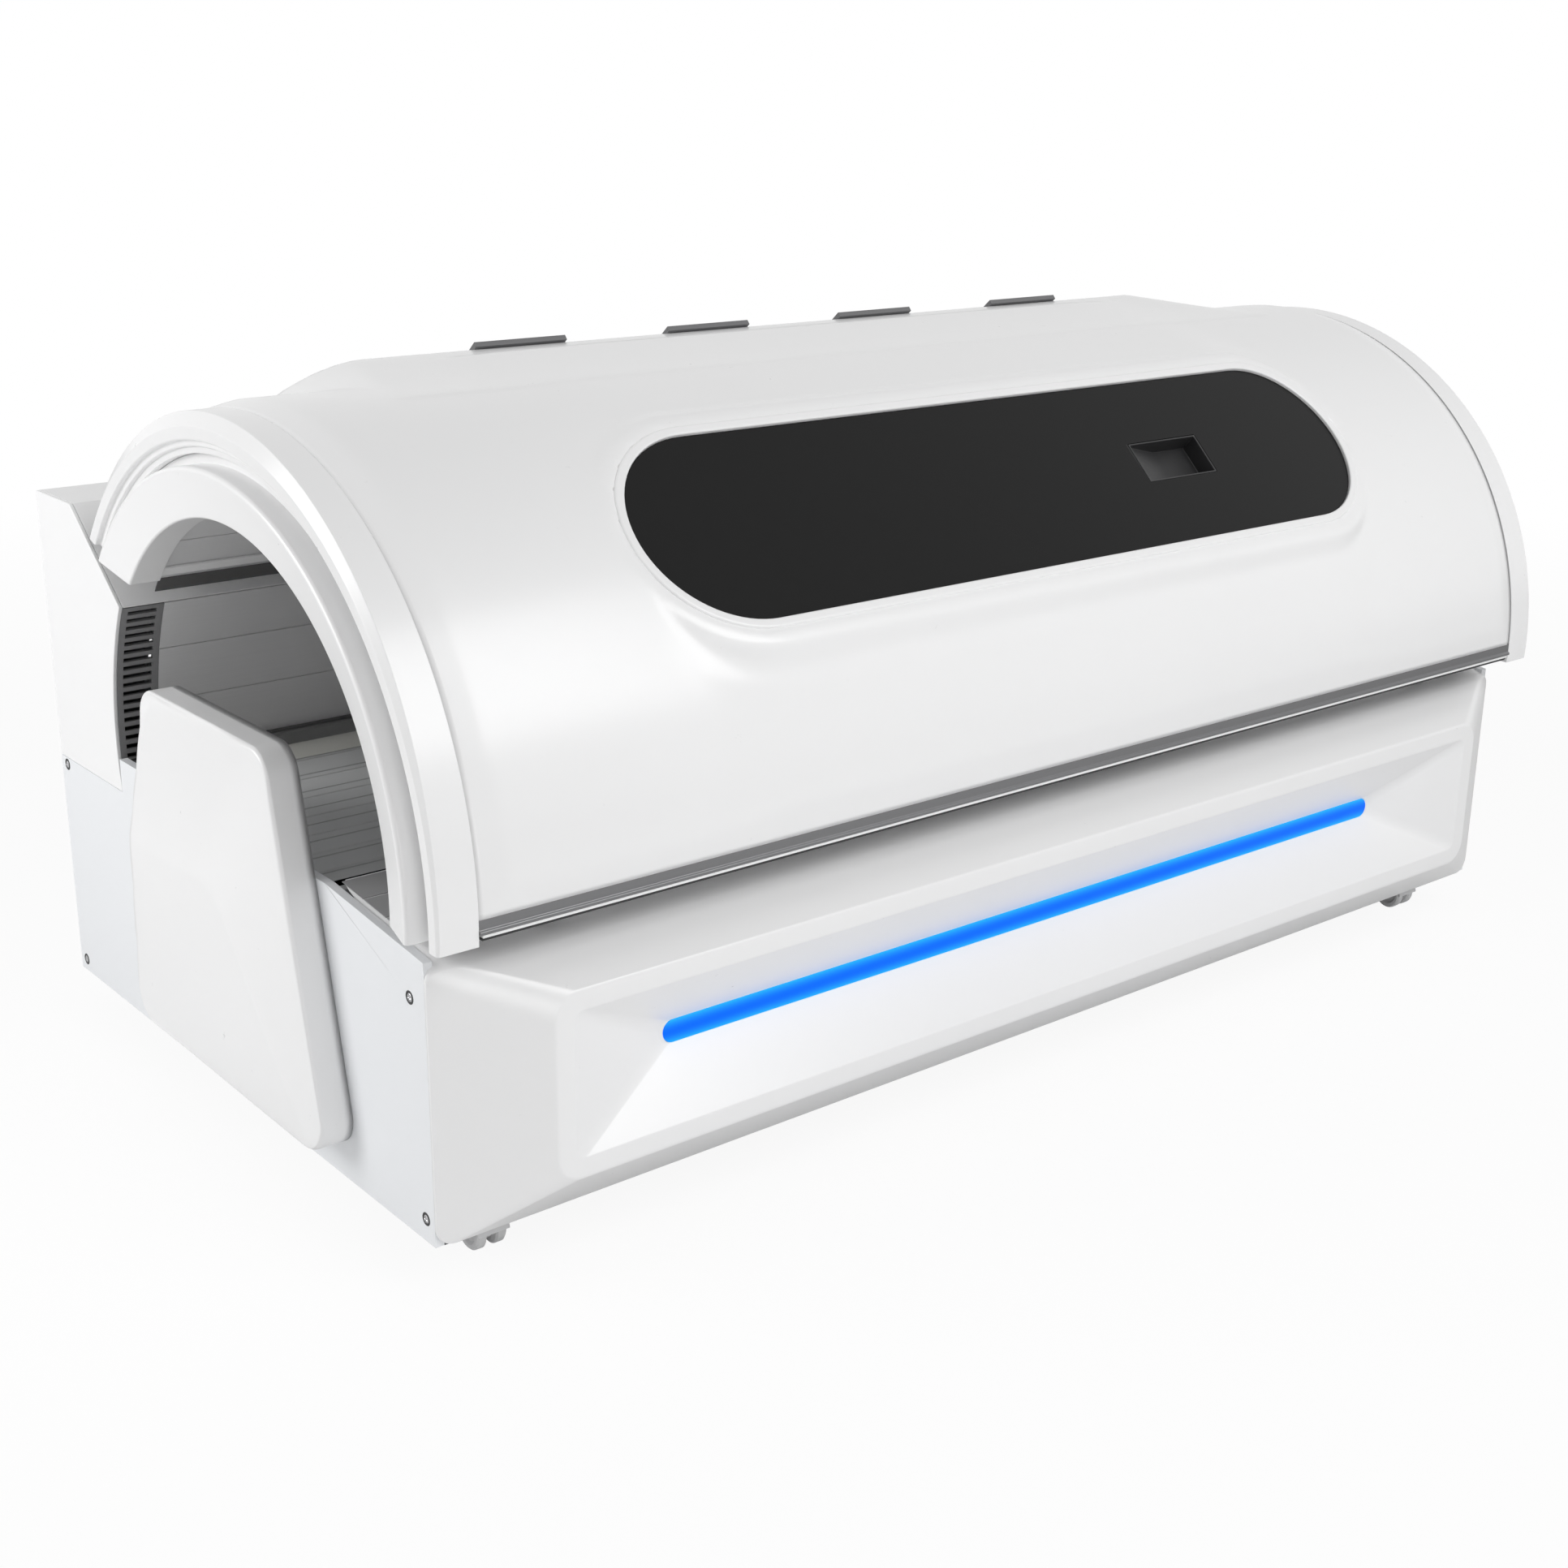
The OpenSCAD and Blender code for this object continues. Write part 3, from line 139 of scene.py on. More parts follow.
# %% Node helpers
def new_group(name, inputs, outputs):
    """Starts a shader node group; a socket holds a number, or a colour where four are given."""
    group = bpy.data.node_groups.new(name, "ShaderNodeTree")
    for way, sockets in (("INPUT", inputs), ("OUTPUT", outputs)):
        for label, value in sockets:
            kind = "NodeSocketColor" if isinstance(value, tuple) else "NodeSocketFloat"
            group.interface.new_socket(label, in_out=way, socket_type=kind).default_value = value
    return group, group.nodes.new("NodeGroupInput"), group.nodes.new("NodeGroupOutput")


def feed(tree, value, socket):
    """Links another node's output to a socket, or sets the socket to a plain value."""
    if isinstance(value, bpy.types.NodeSocket):
        tree.links.new(value, socket)
    else:
        socket.default_value = value


def set_inputs(node, values):
    """Sets several inputs of a node by their names."""
    for name, value in values:
        node.inputs[name].default_value = value


def maths(tree, operation, a, b, c=None):
    """A Math node whose inputs are sockets or plain numbers."""
    node = tree.nodes.new("ShaderNodeMath")
    node.operation = operation
    for value, socket in zip((a, b, c), node.inputs):
        if value is not None:
            feed(tree, value, socket)
    return node.outputs[0]


def noise(tree, vector, scale, detail=2.0, roughness=0.5):
    """A noise texture over a vector; scale is in turns per metre, a number or a socket."""
    node = tree.nodes.new("ShaderNodeTexNoise")
    set_inputs(node, [("Detail", detail), ("Roughness", roughness)])
    tree.links.new(vector, node.inputs["Vector"])
    feed(tree, scale, node.inputs["Scale"])
    return node.outputs["Fac"]


def object_point(tree, scale=None):
    """The point on the piece in metres, optionally stretched along its axes."""
    coords = tree.nodes.new("ShaderNodeTexCoord").outputs["Object"]
    if scale is None:
        return coords
    mapping = tree.nodes.new("ShaderNodeMapping")
    mapping.inputs["Scale"].default_value = scale
    tree.links.new(coords, mapping.inputs["Vector"])
    return mapping.outputs["Vector"]


def shaded(tree, colour, factor):
    """A colour multiplied by a grey factor."""
    scale = tree.nodes.new("ShaderNodeVectorMath")
    scale.operation = "SCALE"
    tree.links.new(colour, scale.inputs[0])
    tree.links.new(factor, scale.inputs["Scale"])
    return scale.outputs["Vector"]


def mixed(tree, share, first, second):
    """A colour between two others, which are sockets or plain values."""
    mix = tree.nodes.new("ShaderNodeMix")
    mix.data_type = "RGBA"
    tree.links.new(share, mix.inputs["Factor"])
    for socket, value in zip([s for s in mix.inputs if s.type == "RGBA"], (first, second)):
        feed(tree, value, socket)
    return next(s for s in mix.outputs if s.type == "RGBA")


def new_material(name):
    """A material with its node tree and its Principled shader."""
    material = bpy.data.materials.new(name)
    material.use_nodes = True
    tree = material.node_tree
    return material, tree, tree.nodes["Principled BSDF"]


def two_shaders(tree, share, first, second):
    """Sends a mix of two shaders to the surface; a share of 0 shows the first."""
    mix = tree.nodes.new("ShaderNodeMixShader")
    for source, socket in ((share, 0), (first.outputs[0], 1), (second.outputs[0], 2)):
        tree.links.new(source, mix.inputs[socket])
    tree.links.new(mix.outputs[0], tree.nodes["Material Output"].inputs["Surface"])


# %% Three effects that many finishes share
def start_effect(name, tone, roughness, amount, inputs=()):
    """An effect's group: colour and roughness in and out, the amount that the colour varies, a height out."""
    shared = [("Colour", (tone, tone, tone, 1)), ("Roughness", roughness)]
    return new_group(name, [*shared, ("Amount", amount), *inputs], [*shared, ("Height", 0.0)])


def end_effect(tree, given, out, tone, marks, spread, height):
    """One noise varies the colour by the amount, one the roughness by a spread, and one is the relief."""
    factor = maths(tree, "MULTIPLY_ADD", maths(tree, "SUBTRACT", tone, 0.5), given.outputs["Amount"], 1.0)
    tree.links.new(shaded(tree, given.outputs["Colour"], factor), out.inputs["Colour"])
    centred = maths(tree, "SUBTRACT", marks, 0.5)
    rough = maths(tree, "MULTIPLY_ADD", centred, spread, given.outputs["Roughness"])
    tree.links.new(rough, out.inputs["Roughness"])
    tree.links.new(height, out.inputs["Height"])
    return tree


def moulding_group():
    """Soft mottle, orange peel and faint polish marks of a moulded or sprayed gloss surface."""
    tree, given, out = start_effect("soft_moulding", 0.9, 0.25, 0.02, [("Peel Scale", 260.0)])
    point = object_point(tree)
    broad = noise(tree, point, 3.0, detail=3.0)
    marks = noise(tree, point, 40.0, detail=4.0, roughness=0.7)
    peel = noise(tree, point, given.outputs["Peel Scale"], detail=1.0)
    return end_effect(tree, given, out, broad, marks, 0.12, peel)


def powder_group():
    """The fine sandy grain of powder coat, with a slow drift in its tone."""
    tree, given, out = start_effect("powder_grain", 0.9, 0.45, 0.03, [("Grain Scale", 900.0)])
    point = object_point(tree)
    slow = noise(tree, point, 2.0)
    grain = noise(tree, point, given.outputs["Grain Scale"], detail=3.0, roughness=0.6)
    return end_effect(tree, given, out, slow, grain, 0.2, grain)


def drawn_group():
    """Fine lines along X, as drawing or brushing leaves them on metal."""
    tree, given, out = start_effect("drawn_lines", 0.6, 0.3, 0.1)
    lines = noise(tree, object_point(tree, (3.0, 900.0, 900.0)), 1.0, detail=4.0, roughness=0.7)
    return end_effect(tree, given, out, lines, lines, 0.25, lines)


effects = [moulding_group(), powder_group(), drawn_group()]
moulding, powder, drawn = effects
print("effects", sorted(group.name for group in effects))


# %% [markdown]
# Each finish is one material: a Principled shader that takes its colour, roughness and bump from an effect.
# Numbers that stay the same all over the surface are set on the shader's own sockets.

# %% Finishes
def finish_of(name, effect, colour, roughness, bump=0.0002, strength=0.3, amount=None, peel=None, shader=()):
    """A material with one effect; the amount and the peel's scale are the effect's own unless given."""
    material, tree, principled = new_material(name)
    group = tree.nodes.new("ShaderNodeGroup")
    group.node_tree = effect
    own = [("Amount", amount), ("Peel Scale", peel)]
    set_inputs(group, [("Colour", (*colour, 1.0)), ("Roughness", roughness), *(o for o in own if o[1])])
    relief = tree.nodes.new("ShaderNodeBump")
    set_inputs(relief, [("Distance", bump), ("Strength", strength)])
    tree.links.new(group.outputs["Height"], relief.inputs["Height"])
    tree.links.new(relief.outputs["Normal"], principled.inputs["Normal"])
    tree.links.new(group.outputs["Colour"], principled.inputs["Base Color"])
    tree.links.new(group.outputs["Roughness"], principled.inputs["Roughness"])
    set_inputs(principled, shader)
    return material


gloss_white = finish_of("gloss_white", moulding, (0.91, 0.91, 0.912), 0.30, strength=0.12,
                        shader=[("Coat Weight", 0.35), ("Coat Roughness", 0.22)])
white_sheet = finish_of("white_sheet", powder, (0.91, 0.91, 0.912), 0.42, bump=0.0001)
white_board = finish_of("white_board", powder, (0.86, 0.875, 0.895), 0.32, bump=0.0001, strength=0.2)
dark_sill = finish_of("dark_sill", powder, (0.10, 0.10, 0.10), 0.5)
grey_frame = finish_of("grey_frame", powder, (0.13, 0.135, 0.14), 0.5, strength=0.5)
lamp_panel = finish_of("lamp_panel", drawn, (0.74, 0.74, 0.745), 0.42, bump=0.0001, amount=0.12)
deck_grey = finish_of("deck_grey", drawn, (0.34, 0.34, 0.345), 0.45, bump=0.0001, amount=0.12)
alloy_rail = finish_of("alloy_rail", drawn, (0.22, 0.22, 0.225), 0.34, amount=0.15,
                       shader=[("Metallic", 0.7)])
bright_steel = finish_of("bright_steel", drawn, (0.50, 0.50, 0.51), 0.3, amount=0.2,
                         shader=[("Metallic", 1.0)])
chrome_rod = finish_of("chrome_rod", drawn, (0.75, 0.75, 0.76), 0.08, amount=0.05, shader=[("Metallic", 1.0)])
alloy_box = finish_of("alloy_box", drawn, (0.55, 0.56, 0.57), 0.36, shader=[("Metallic", 0.9)])
black_gloss = finish_of("black_gloss", moulding, (0.007, 0.007, 0.007), 0.24, strength=0.05,
                        amount=0.1, shader=[("Specular IOR Level", 0.12)])
dark_plastic = finish_of("dark_plastic", moulding, (0.02, 0.02, 0.021), 0.45, strength=0.4,
                         amount=0.15, peel=700.0)
grille_grey = finish_of("grille_grey", moulding, (0.26, 0.26, 0.265), 0.45, strength=0.4, peel=700.0)
vent_grey = finish_of("vent_grey", moulding, (0.16, 0.16, 0.165), 0.4, strength=0.3)
green_board = finish_of("green_board", moulding, (0.01, 0.10, 0.03), 0.4)
grey_rubber = finish_of("grey_rubber", powder, (0.30, 0.30, 0.30), 0.8, strength=0.6)
caster_grey = finish_of("caster_grey", moulding, (0.76, 0.76, 0.765), 0.35, strength=0.3)
wheel_grey = finish_of("wheel_grey", moulding, (0.68, 0.68, 0.685), 0.4, strength=0.3)
print("finishes", len(bpy.data.materials))


# %% [markdown]
# The clear lying sheet is acrylic, so it keeps a plain transmission, and it lets the light that falls on the
# panel below pass straight through. The light bar glows from inside: its colour runs from a deep blue core to
# a paler blue along both edges, which a mask of the height gives.

# %% Clear sheet and light bar
def clear_acrylic():
    """Clear acrylic with faint cleaning marks in its gloss."""
    material = finish_of("clear_acrylic", moulding, (0.97, 0.985, 0.98), 0.05, strength=0.03,
                         shader=[("Transmission Weight", 1.0), ("IOR", 1.49)])
    tree = material.node_tree
    clear = tree.nodes.new("ShaderNodeBsdfTransparent")
    path = tree.nodes.new("ShaderNodeLightPath")
    passing = maths(tree, "MAXIMUM", path.outputs["Is Shadow Ray"], path.outputs["Is Diffuse Ray"])
    two_shaders(tree, passing, tree.nodes["Principled BSDF"], clear)
    return material


def glow_group():
    """Distance from a line along X at one height, as a mask that is 0 on the line and 1 at a half width."""
    tree, given, out = new_group(
        "bar_glow",
        [("Height Of Line", 0.25), ("Half Width", 0.016),
         ("Core", (0, 0.145, 1, 1)), ("Edge", (0.02, 0.47, 1, 1))],
        [("Colour", (0, 0, 1, 1))])
    split = tree.nodes.new("ShaderNodeSeparateXYZ")
    tree.links.new(object_point(tree), split.inputs["Vector"])
    above = maths(tree, "SUBTRACT", split.outputs["Z"], given.outputs["Height Of Line"])
    share = maths(tree, "DIVIDE", maths(tree, "ABSOLUTE", above, 0.0), given.outputs["Half Width"])
    mask = maths(tree, "SMOOTH_MIN", maths(tree, "POWER", share, 2.0), 1.0, 0.2)
    tree.links.new(mixed(tree, mask, given.outputs["Core"], given.outputs["Edge"]), out.inputs["Colour"])
    return tree


def lit_blue(line_z, half_width):
    """The lit diffuser of the light bar."""
    material, tree, principled = new_material("lit_blue")
    group = tree.nodes.new("ShaderNodeGroup")
    group.node_tree = glow_group()
    set_inputs(group, [("Height Of Line", line_z), ("Half Width", half_width)])
    set_inputs(principled, [("Base Color", (0.0, 0.01, 0.05, 1)), ("Roughness", 0.35),
                            ("Specular IOR Level", 0.1), ("Emission Strength", 1.0)])
    tree.links.new(group.outputs["Colour"], principled.inputs["Emission Color"])
    return material


clear_sheet = clear_acrylic()
bar_low, bar_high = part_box("light_bar")
bar_z, bar_r = (bar_low.z + bar_high.z)/2, (bar_high.z - bar_low.z)/2
blue_light = lit_blue(bar_z, bar_r)
print("light bar height", round(bar_r*2000, 1), "mm")


# %% [markdown]
# Most sheet and machined parts are right as the frame has them, but their edges are knife sharp. A soft
# copy takes the node's mesh, joins its triangles into flat faces and rounds every corner a little, because
# an edge that catches no light looks like a drawing. A piece stands in the slot that its finish is named
# after; Blender puts a dot and a number behind that name, because the frame has a material of that name too.


def object_from(bm, name):
    """Turns a mesh under construction into an object."""
    mesh = bpy.data.meshes.new(name)
    bm.to_mesh(mesh)
    bm.free()
    return bpy.data.objects.new(name, mesh)


def weighted_normals(obj):
    """Lets large faces set the normals, so that flat faces look flat beside their rounded edges."""
    normals = obj.modifiers.new("flat_faces", "WEIGHTED_NORMAL")
    normals.keep_sharp = True


def place_piece(obj, material, body, nodes=()):
    """Gives a piece its finish and its place in the model."""
    obj.data.materials.append(material)
    scene_objects.link(obj)
    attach(obj, body)
    if nodes:
        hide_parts(*nodes)
    return obj


def soft_modifiers(obj, width, segments, corner=30.0):
    """Rounds the corners of a mesh and keeps its flat faces flat."""
    obj.data.shade_smooth()
    bevel = obj.modifiers.new("soft_edges", "BEVEL")
    bevel.width = width
    bevel.segments = segments
    bevel.limit_method = "ANGLE"
    bevel.angle_limit = radians(corner)
    bevel.harden_normals = True
    bevel.miter_outer = "MITER_ARC"
    weighted_normals(obj)


def soft_copy(node, material, width, segments=2):
    """A soft-edged piece that stands for one node of the frame."""
    bm = bmesh.new()
    bm.from_mesh(frame["nodes"][node].data)
    bmesh.ops.remove_doubles(bm, verts=bm.verts, dist=2e-5)
    bmesh.ops.dissolve_limit(bm, angle_limit=radians(0.4), verts=bm.verts, edges=bm.edges)
    obj = object_from(bm, node + "_soft")
    soft_modifiers(obj, width, segments)
    return place_piece(obj, material, body_of[node], [node])


soft_parts = [
    ("left_cabinet_side", white_sheet, 0.0015), ("right_cabinet_side", white_sheet, 0.0015),
    ("cabinet_top", white_sheet, 0.0012), ("rear_sill", dark_sill, 0.0015),
    ("canopy_rail", alloy_rail, 0.0008), ("light_bar", blue_light, 0.0015),
    ("front_panel", black_gloss, 0.0012), ("hand_pull", dark_plastic, 0.0012),
    ("left_air_grille", grille_grey, 0.0005), ("right_air_grille", grille_grey, 0.0005),
    ("vent_grilles", vent_grey, 0.0005, 1), ("mains_inlet", dark_plastic, 0.0005, 1),
    ("power_rocker", dark_plastic, 0.0006), ("canopy_stops", grey_rubber, 0.001),
]
for corner in ("front_left", "front_right", "rear_left", "rear_right"):
    soft_parts += [(corner + "_fork", caster_grey, 0.0008), (corner + "_wheels", wheel_grey, 0.0010)]
for part in soft_parts:
    soft_copy(*part)
print("soft copies", len(soft_parts))


# %% [markdown]
# The end panels are boards with a generous roll along the deck and at both front corners, and small soft
# edges elsewhere. A bevel modifier can read how strong it is from each edge, so the edges get their weights
# by where they lie.

# %% End panels
deck_level, cabinet_front = 0.43, 0.33


def rolled_panel(node, side, roll=0.011, small=0.22):
    """A copy of an end panel whose outer edge along the deck and front corners are rolled."""
    obj = soft_copy(node, white_board, roll, 5)
    low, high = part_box(node)
    outer = high.x if side > 0 else low.x
    weights = obj.data.attributes.new("bevel_weight_edge", "FLOAT", "EDGE")
    rolled = 0
    for edge in obj.data.edges:
        a, b = (obj.data.vertices[i].co for i in edge.vertices)
        outside = abs(a.x - outer) < 1e-4 and abs(b.x - outer) < 1e-4
        along_deck = min(a.z, b.z) > deck_level and max(a.y, b.y) < cabinet_front
        on_top = outside and along_deck and abs(a.y - b.y) > 0.05
        at_front = abs(a.x - b.x) > 0.005 and max(a.y, b.y) < low.y + 1e-4
        weights.data[edge.index].value = 1.0 if on_top or at_front else small
        rolled += on_top or at_front
    obj.modifiers["soft_edges"].limit_method = "WEIGHT"
    print(node, "rolled edges", rolled)


rolled_panel("left_end_panel", -1)
rolled_panel("right_end_panel", 1)


# %% [markdown]
# The end panels are held by domed screws with a cross slot, each in a shallow recess. One screw is a turned
# dome with a cross pressed into it by moving the points that lie on two short bars. The recess is a thin dark
# ring of painted shade that reaches under the head's edge, since the panel keeps its flat face.

# %% End panel screws
screw_spots = [(0.5575, 0.401), (0.5575, 0.081), (-0.4685, 0.380), (-0.4835, 0.093)]
end_planes = ((-1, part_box("left_end_panel")[0].x), (1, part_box("right_end_panel")[1].x))
screw_r = 0.0065
dome, sunk, slot_deep, slot_half, slot_reach = 0.0022, 0.0004, 0.0016, 0.0009, 0.0042


def ring_faces(bm, loops):
    """Quads between loops of points that follow each other."""
    for a, b in zip(loops, loops[1:]):
        for k in range(len(a)):
            n = (k + 1) % len(a)
            bm.faces.new([a[k], b[k], b[n], a[n]])


def screw_heads(rings=12, segments=48):
    """All eight heads in one mesh, domed outwards with a cross slot."""
    bm = bmesh.new()
    for side, plane in end_planes:
        for y, z in screw_spots:
            rows = []
            for i in range(rings + 1):
                r = screw_r*i/rings
                row = []
                for k in range(segments if i else 1):
                    a = 2*pi*k/segments
                    dy, dz = r*cos(a), r*sin(a)
                    rise = dome*(1 - (r/screw_r)**2) - sunk
                    slot = min(abs(dy), abs(dz)) < slot_half and r < slot_reach
                    rise -= slot_deep if slot else 0
                    row.append(bm.verts.new((plane + side*rise, y + dy, z + dz)))
                rows.append(row)
            for k in range(segments):
                bm.faces.new([rows[0][0], rows[1][k], rows[1][(k + 1) % segments]])
            skirt = [bm.verts.new(v.co - Vector((side*dome, 0, 0))) for v in rows[rings]]
            ring_faces(bm, rows[1:] + [skirt])
            bm.faces.new(skirt)
    bmesh.ops.recalc_face_normals(bm, faces=bm.faces)
    obj = object_from(bm, "screw_heads")
    obj.data.shade_smooth()
    place_piece(obj, bright_steel, "base", ["end_panel_screws"])


def screw_recesses(inner=0.0058, outer=0.0088, segments=48):
    """A thin dark ring round each head: painted shade for the recess that the head sits in."""
    section = [(inner, -0.0003), (inner, 0.0005), (outer - 0.0004, 0.0005), (outer, 0.0002), (outer, -0.0003)]
    bm = bmesh.new()
    for side, plane in end_planes:
        for y, z in screw_spots:
            loops = []
            for r, rise in section:
                loops.append([bm.verts.new((plane + side*rise, y + r*cos(a), z + r*sin(a)))
                              for a in (2*pi*k/segments for k in range(segments))])
            ring_faces(bm, loops + loops[:1])
    bmesh.ops.recalc_face_normals(bm, faces=bm.faces)
    obj = object_from(bm, "screw_recesses")
    obj.data.shade_smooth()
    # The ring's dark plastic is painted shade, because the panel has no real recess.
    place_piece(obj, dark_plastic, "base")


screw_heads()
screw_recesses()
print("screws", 2*len(screw_spots), "of", round(screw_r*2000), "mm")

# %% [markdown]
# Parts inside the casings keep the frame's own mesh and only get a finish. So do the thin back sheet with its
# many slots and the service plate, whose edges are too thin to round. The lying surface's light panel is laid
# out in strips by a mask of the place across the bed: a pitch with a dark gap, and a cream strip at the rear.

# %% Finishes for the parts that stay
def strip_panel(edge=0.262, pitch=0.0640, gap=0.0035):
    """The lying surface's light panel: grey strips with dark gaps, and a cream one along the rear edge."""
    material = lamp_panel.copy()
    material.name = "strip_panel"
    tree = material.node_tree
    group = next(n for n in tree.nodes if n.type == "GROUP")
    split = tree.nodes.new("ShaderNodeSeparateXYZ")
    tree.links.new(object_point(tree), split.inputs["Vector"])
    rear = maths(tree, "GREATER_THAN", split.outputs["Y"], edge)
    colour = mixed(tree, rear, group.inputs["Colour"].default_value, (0.92, 0.90, 0.83, 1))
    place = maths(tree, "FLOORED_MODULO", maths(tree, "SUBTRACT", edge, split.outputs["Y"]), pitch)
    board = maths(tree, "MULTIPLY_ADD", maths(tree, "GREATER_THAN", place, gap), 0.9, 0.1)
    tree.links.new(shaded(tree, colour, board), group.inputs["Colour"])
    return material


plain_parts = {
    white_sheet: ["cabinet_back"],
    grey_frame: ["frame_tubes", "frame_posts", "base_tray", "cabinet_ribs"],
    alloy_box: ["driver_units", "strut_cylinders", "canopy_ribs"],
    lamp_panel: ["rear_light_panel", "canopy_light_panel"],
    strip_panel(): ["bed_light_panel"],
    clear_sheet: ["bed_sheet"],
    green_board: ["light_bar_board"],
    alloy_rail: ["service_plate"],
    bright_steel: ["hinge_bearings", "hinge_shaft", "hinge_arms", "crank_levers", "caster_plates"],
    chrome_rod: ["left_strut_rod", "right_strut_rod"],
    dark_plastic: ["fan_frames", "fan_rotor_1", "fan_rotor_2", "fan_rotor_3", "fan_rotor_4"],
}
for material, nodes in plain_parts.items():
    for node in nodes:
        slots = frame["nodes"][node].data.materials
        slots.clear()
        slots.append(material)
print("plain parts", sum(len(n) for n in plain_parts.values()))


# %% [markdown]
# The canopy shell is one moulding: a half barrel, a shallow roof that is rounded over at the left and ramps
# down at the right, and a soft mound that carries the panel. Seen from the skin's axis each of them is a
# distance, so the shell is a grid of rays whose length is a smooth blend of those distances. That gives
# fillets where the forms meet, which joining separate solids would not.

# %% Canopy shell
ridge_y, ridge_z = 0.171, shell_high.z - skin_z
roof_front_deg, roof_rear_deg = 95.35, 49.31
roof_rear_off = ridge_y*cos(radians(roof_rear_deg)) + ridge_z*sin(radians(roof_rear_deg))
roof_half, roof_round, roof_slope = 0.758, 0.155, 0.21
panel_deg, panel_off = 134.0, 0.5144
panel_c, panel_r, trim_r = 0.539, 0.143, 0.157
mound_r, mound_slope, mound_edge, mound_top, mound_foot = 0.176, 0.75, 0.010, 0.003, 0.006
rear_edge_deg, skin_edge_off, axis_edge_off = 22.5, 0.11543, 0.12052
front_edge_z = shell_low.z - skin_z
facet_deg, facet_off = 189.22, 0.50705
roof_fillet, mound_fillet, fillet_reach, facet_edge = 0.006, 0.024, 0.04, 0.002
shell_wall, ramp, left_over, right_gap = 0.005, 0.038, 0.0012, 0.006
roof_stop, roof_foot, roof_drop = 0.040, 0.004, 0.150
seat_depth, seat_margin, window_margin = 0.0055, 0.007, 0.012
vent_xs, vent_hole, vent_mid = [-0.504, -0.168, 0.168, 0.504], 0.055, 0.092
print("ridge above the skin's axis", round(ridge_z, 4), "rear face off the axis", round(roof_rear_off, 4))


def smooth_min(a, b, k):
    """The smaller of two values, rounded over a width k where they cross."""
    h = np.clip(0.5 + 0.5*(b - a)/k, 0, 1)
    return b*(1 - h) + a*h - k*h*(1 - h)


def smooth_max(a, b, k):
    """The larger of two values, rounded over a width k where they cross."""
    return -smooth_min(-a, -b, k)


def barrel(x):
    """Radius of the barrel, which ramps down to the end bands."""
    drop = (shell_r - band_r)*(np.abs(x) - (shell_half - ramp))/ramp
    return shell_r - smooth_max(drop, np.zeros_like(drop), 0.0008)


def roof_top(x):
    """Height of the roof's ridge line: level, round at its left end and ramped at its right end."""
    over = np.clip(-roof_half + 0.008 - x, 0, roof_round)
    left = roof_round - np.sqrt(roof_round**2 - over**2)
    stop = shell_half - roof_stop
    right = np.interp(x, [roof_half, stop, shell_half - roof_foot],
                      [0.0, roof_slope*(stop - roof_half), roof_drop])
    return ridge_z - left - right


def roof(x, angle):
    """Distance to the roof: its front and rear faces and its two ends."""
    front = shell_r/np.cos(angle - radians(roof_front_deg))
    rear = roof_rear_off/np.maximum(np.cos(angle - radians(roof_rear_deg)), 0.2)
    rise = np.maximum(np.sin(angle), 0.2)
    face = smooth_min(smooth_min(front, rear, 0.005), roof_top(x)/rise, 0.004)
    return np.where(angle < radians(roof_front_deg + 1), face, 0.0)


def from_panel(x, r, turn):
    """Distance of a point from the line between the centres of the panel's round ends."""
    return np.hypot(np.maximum(np.abs(x) - panel_c, 0), r*np.sin(turn))


def mound(x, turn):
    """Distance to the mound under the panel, found by halving along each ray."""
    low, high = np.full_like(x, 0.2), np.full_like(x, 0.8)
    for _ in range(36):
        r = (low + high)/2
        away = from_panel(x, r, turn) - mound_r - mound_foot/2
        out = (np.sqrt(away*away + mound_foot**2) + away)/2
        fall = mound_slope*out + mound_edge*(1 - np.exp(-out/mound_edge)) - mound_top
        above = r*np.cos(turn) > panel_off - fall
        high = np.where(above, r, high)
        low = np.where(above, low, r)
    return np.where(np.abs(turn) < 1.0, (low + high)/2, 0.0)


def edge_angles(r, rear_off, front_z):
    """Angles of the sloping rear edge and the level front edge at one radius about an axis."""
    rear = radians(rear_edge_deg) + np.arcsin(rear_off/r)
    front = pi - np.arcsin(front_z/r)
    return rear, front


def rear_face_angle(s):
    """Angle of a point of the roof's rear face, by its distance below the ridge."""
    y = ridge_y + s*sin(radians(roof_rear_deg))
    z = ridge_z - s*cos(radians(roof_rear_deg))
    return atan2(z, y)


def grid_mesh(name, points, closed_around=False):
    """A mesh of quads over a grid of points."""
    rows, cols = points.shape[:2]
    faces = []
    for i in range(rows - 1):
        for j in range(cols if closed_around else cols - 1):
            here, after = i*cols + j, i*cols + (j + 1) % cols
            faces.append((here, after, after + cols, here + cols))
    mesh = bpy.data.meshes.new(name)
    mesh.from_pydata(points.reshape(-1, 3).tolist(), [], faces)
    mesh.validate()
    mesh.shade_smooth()
    return mesh


def merged(mesh, fill=False):
    """Joins points that coincide, closes open ends if asked, and turns every face outwards."""
    bm = bmesh.new()
    bm.from_mesh(mesh)
    bmesh.ops.remove_doubles(bm, verts=bm.verts, dist=1e-6)
    if fill:
        bmesh.ops.holes_fill(bm, edges=[e for e in bm.edges if e.is_boundary])
    bmesh.ops.recalc_face_normals(bm, faces=bm.faces)
    bm.to_mesh(mesh)
    bm.free()
    return mesh


def lines_through(low, high, step, marks):
    """Evenly spaced grid lines that also pass through each mark."""
    stops = sorted({low, high, *marks})
    parts = [np.linspace(a, b, max(2, int(round((b - a)/step)) + 1))[:-1] for a, b in zip(stops, stops[1:])]
    return np.concatenate(parts + [[high]])


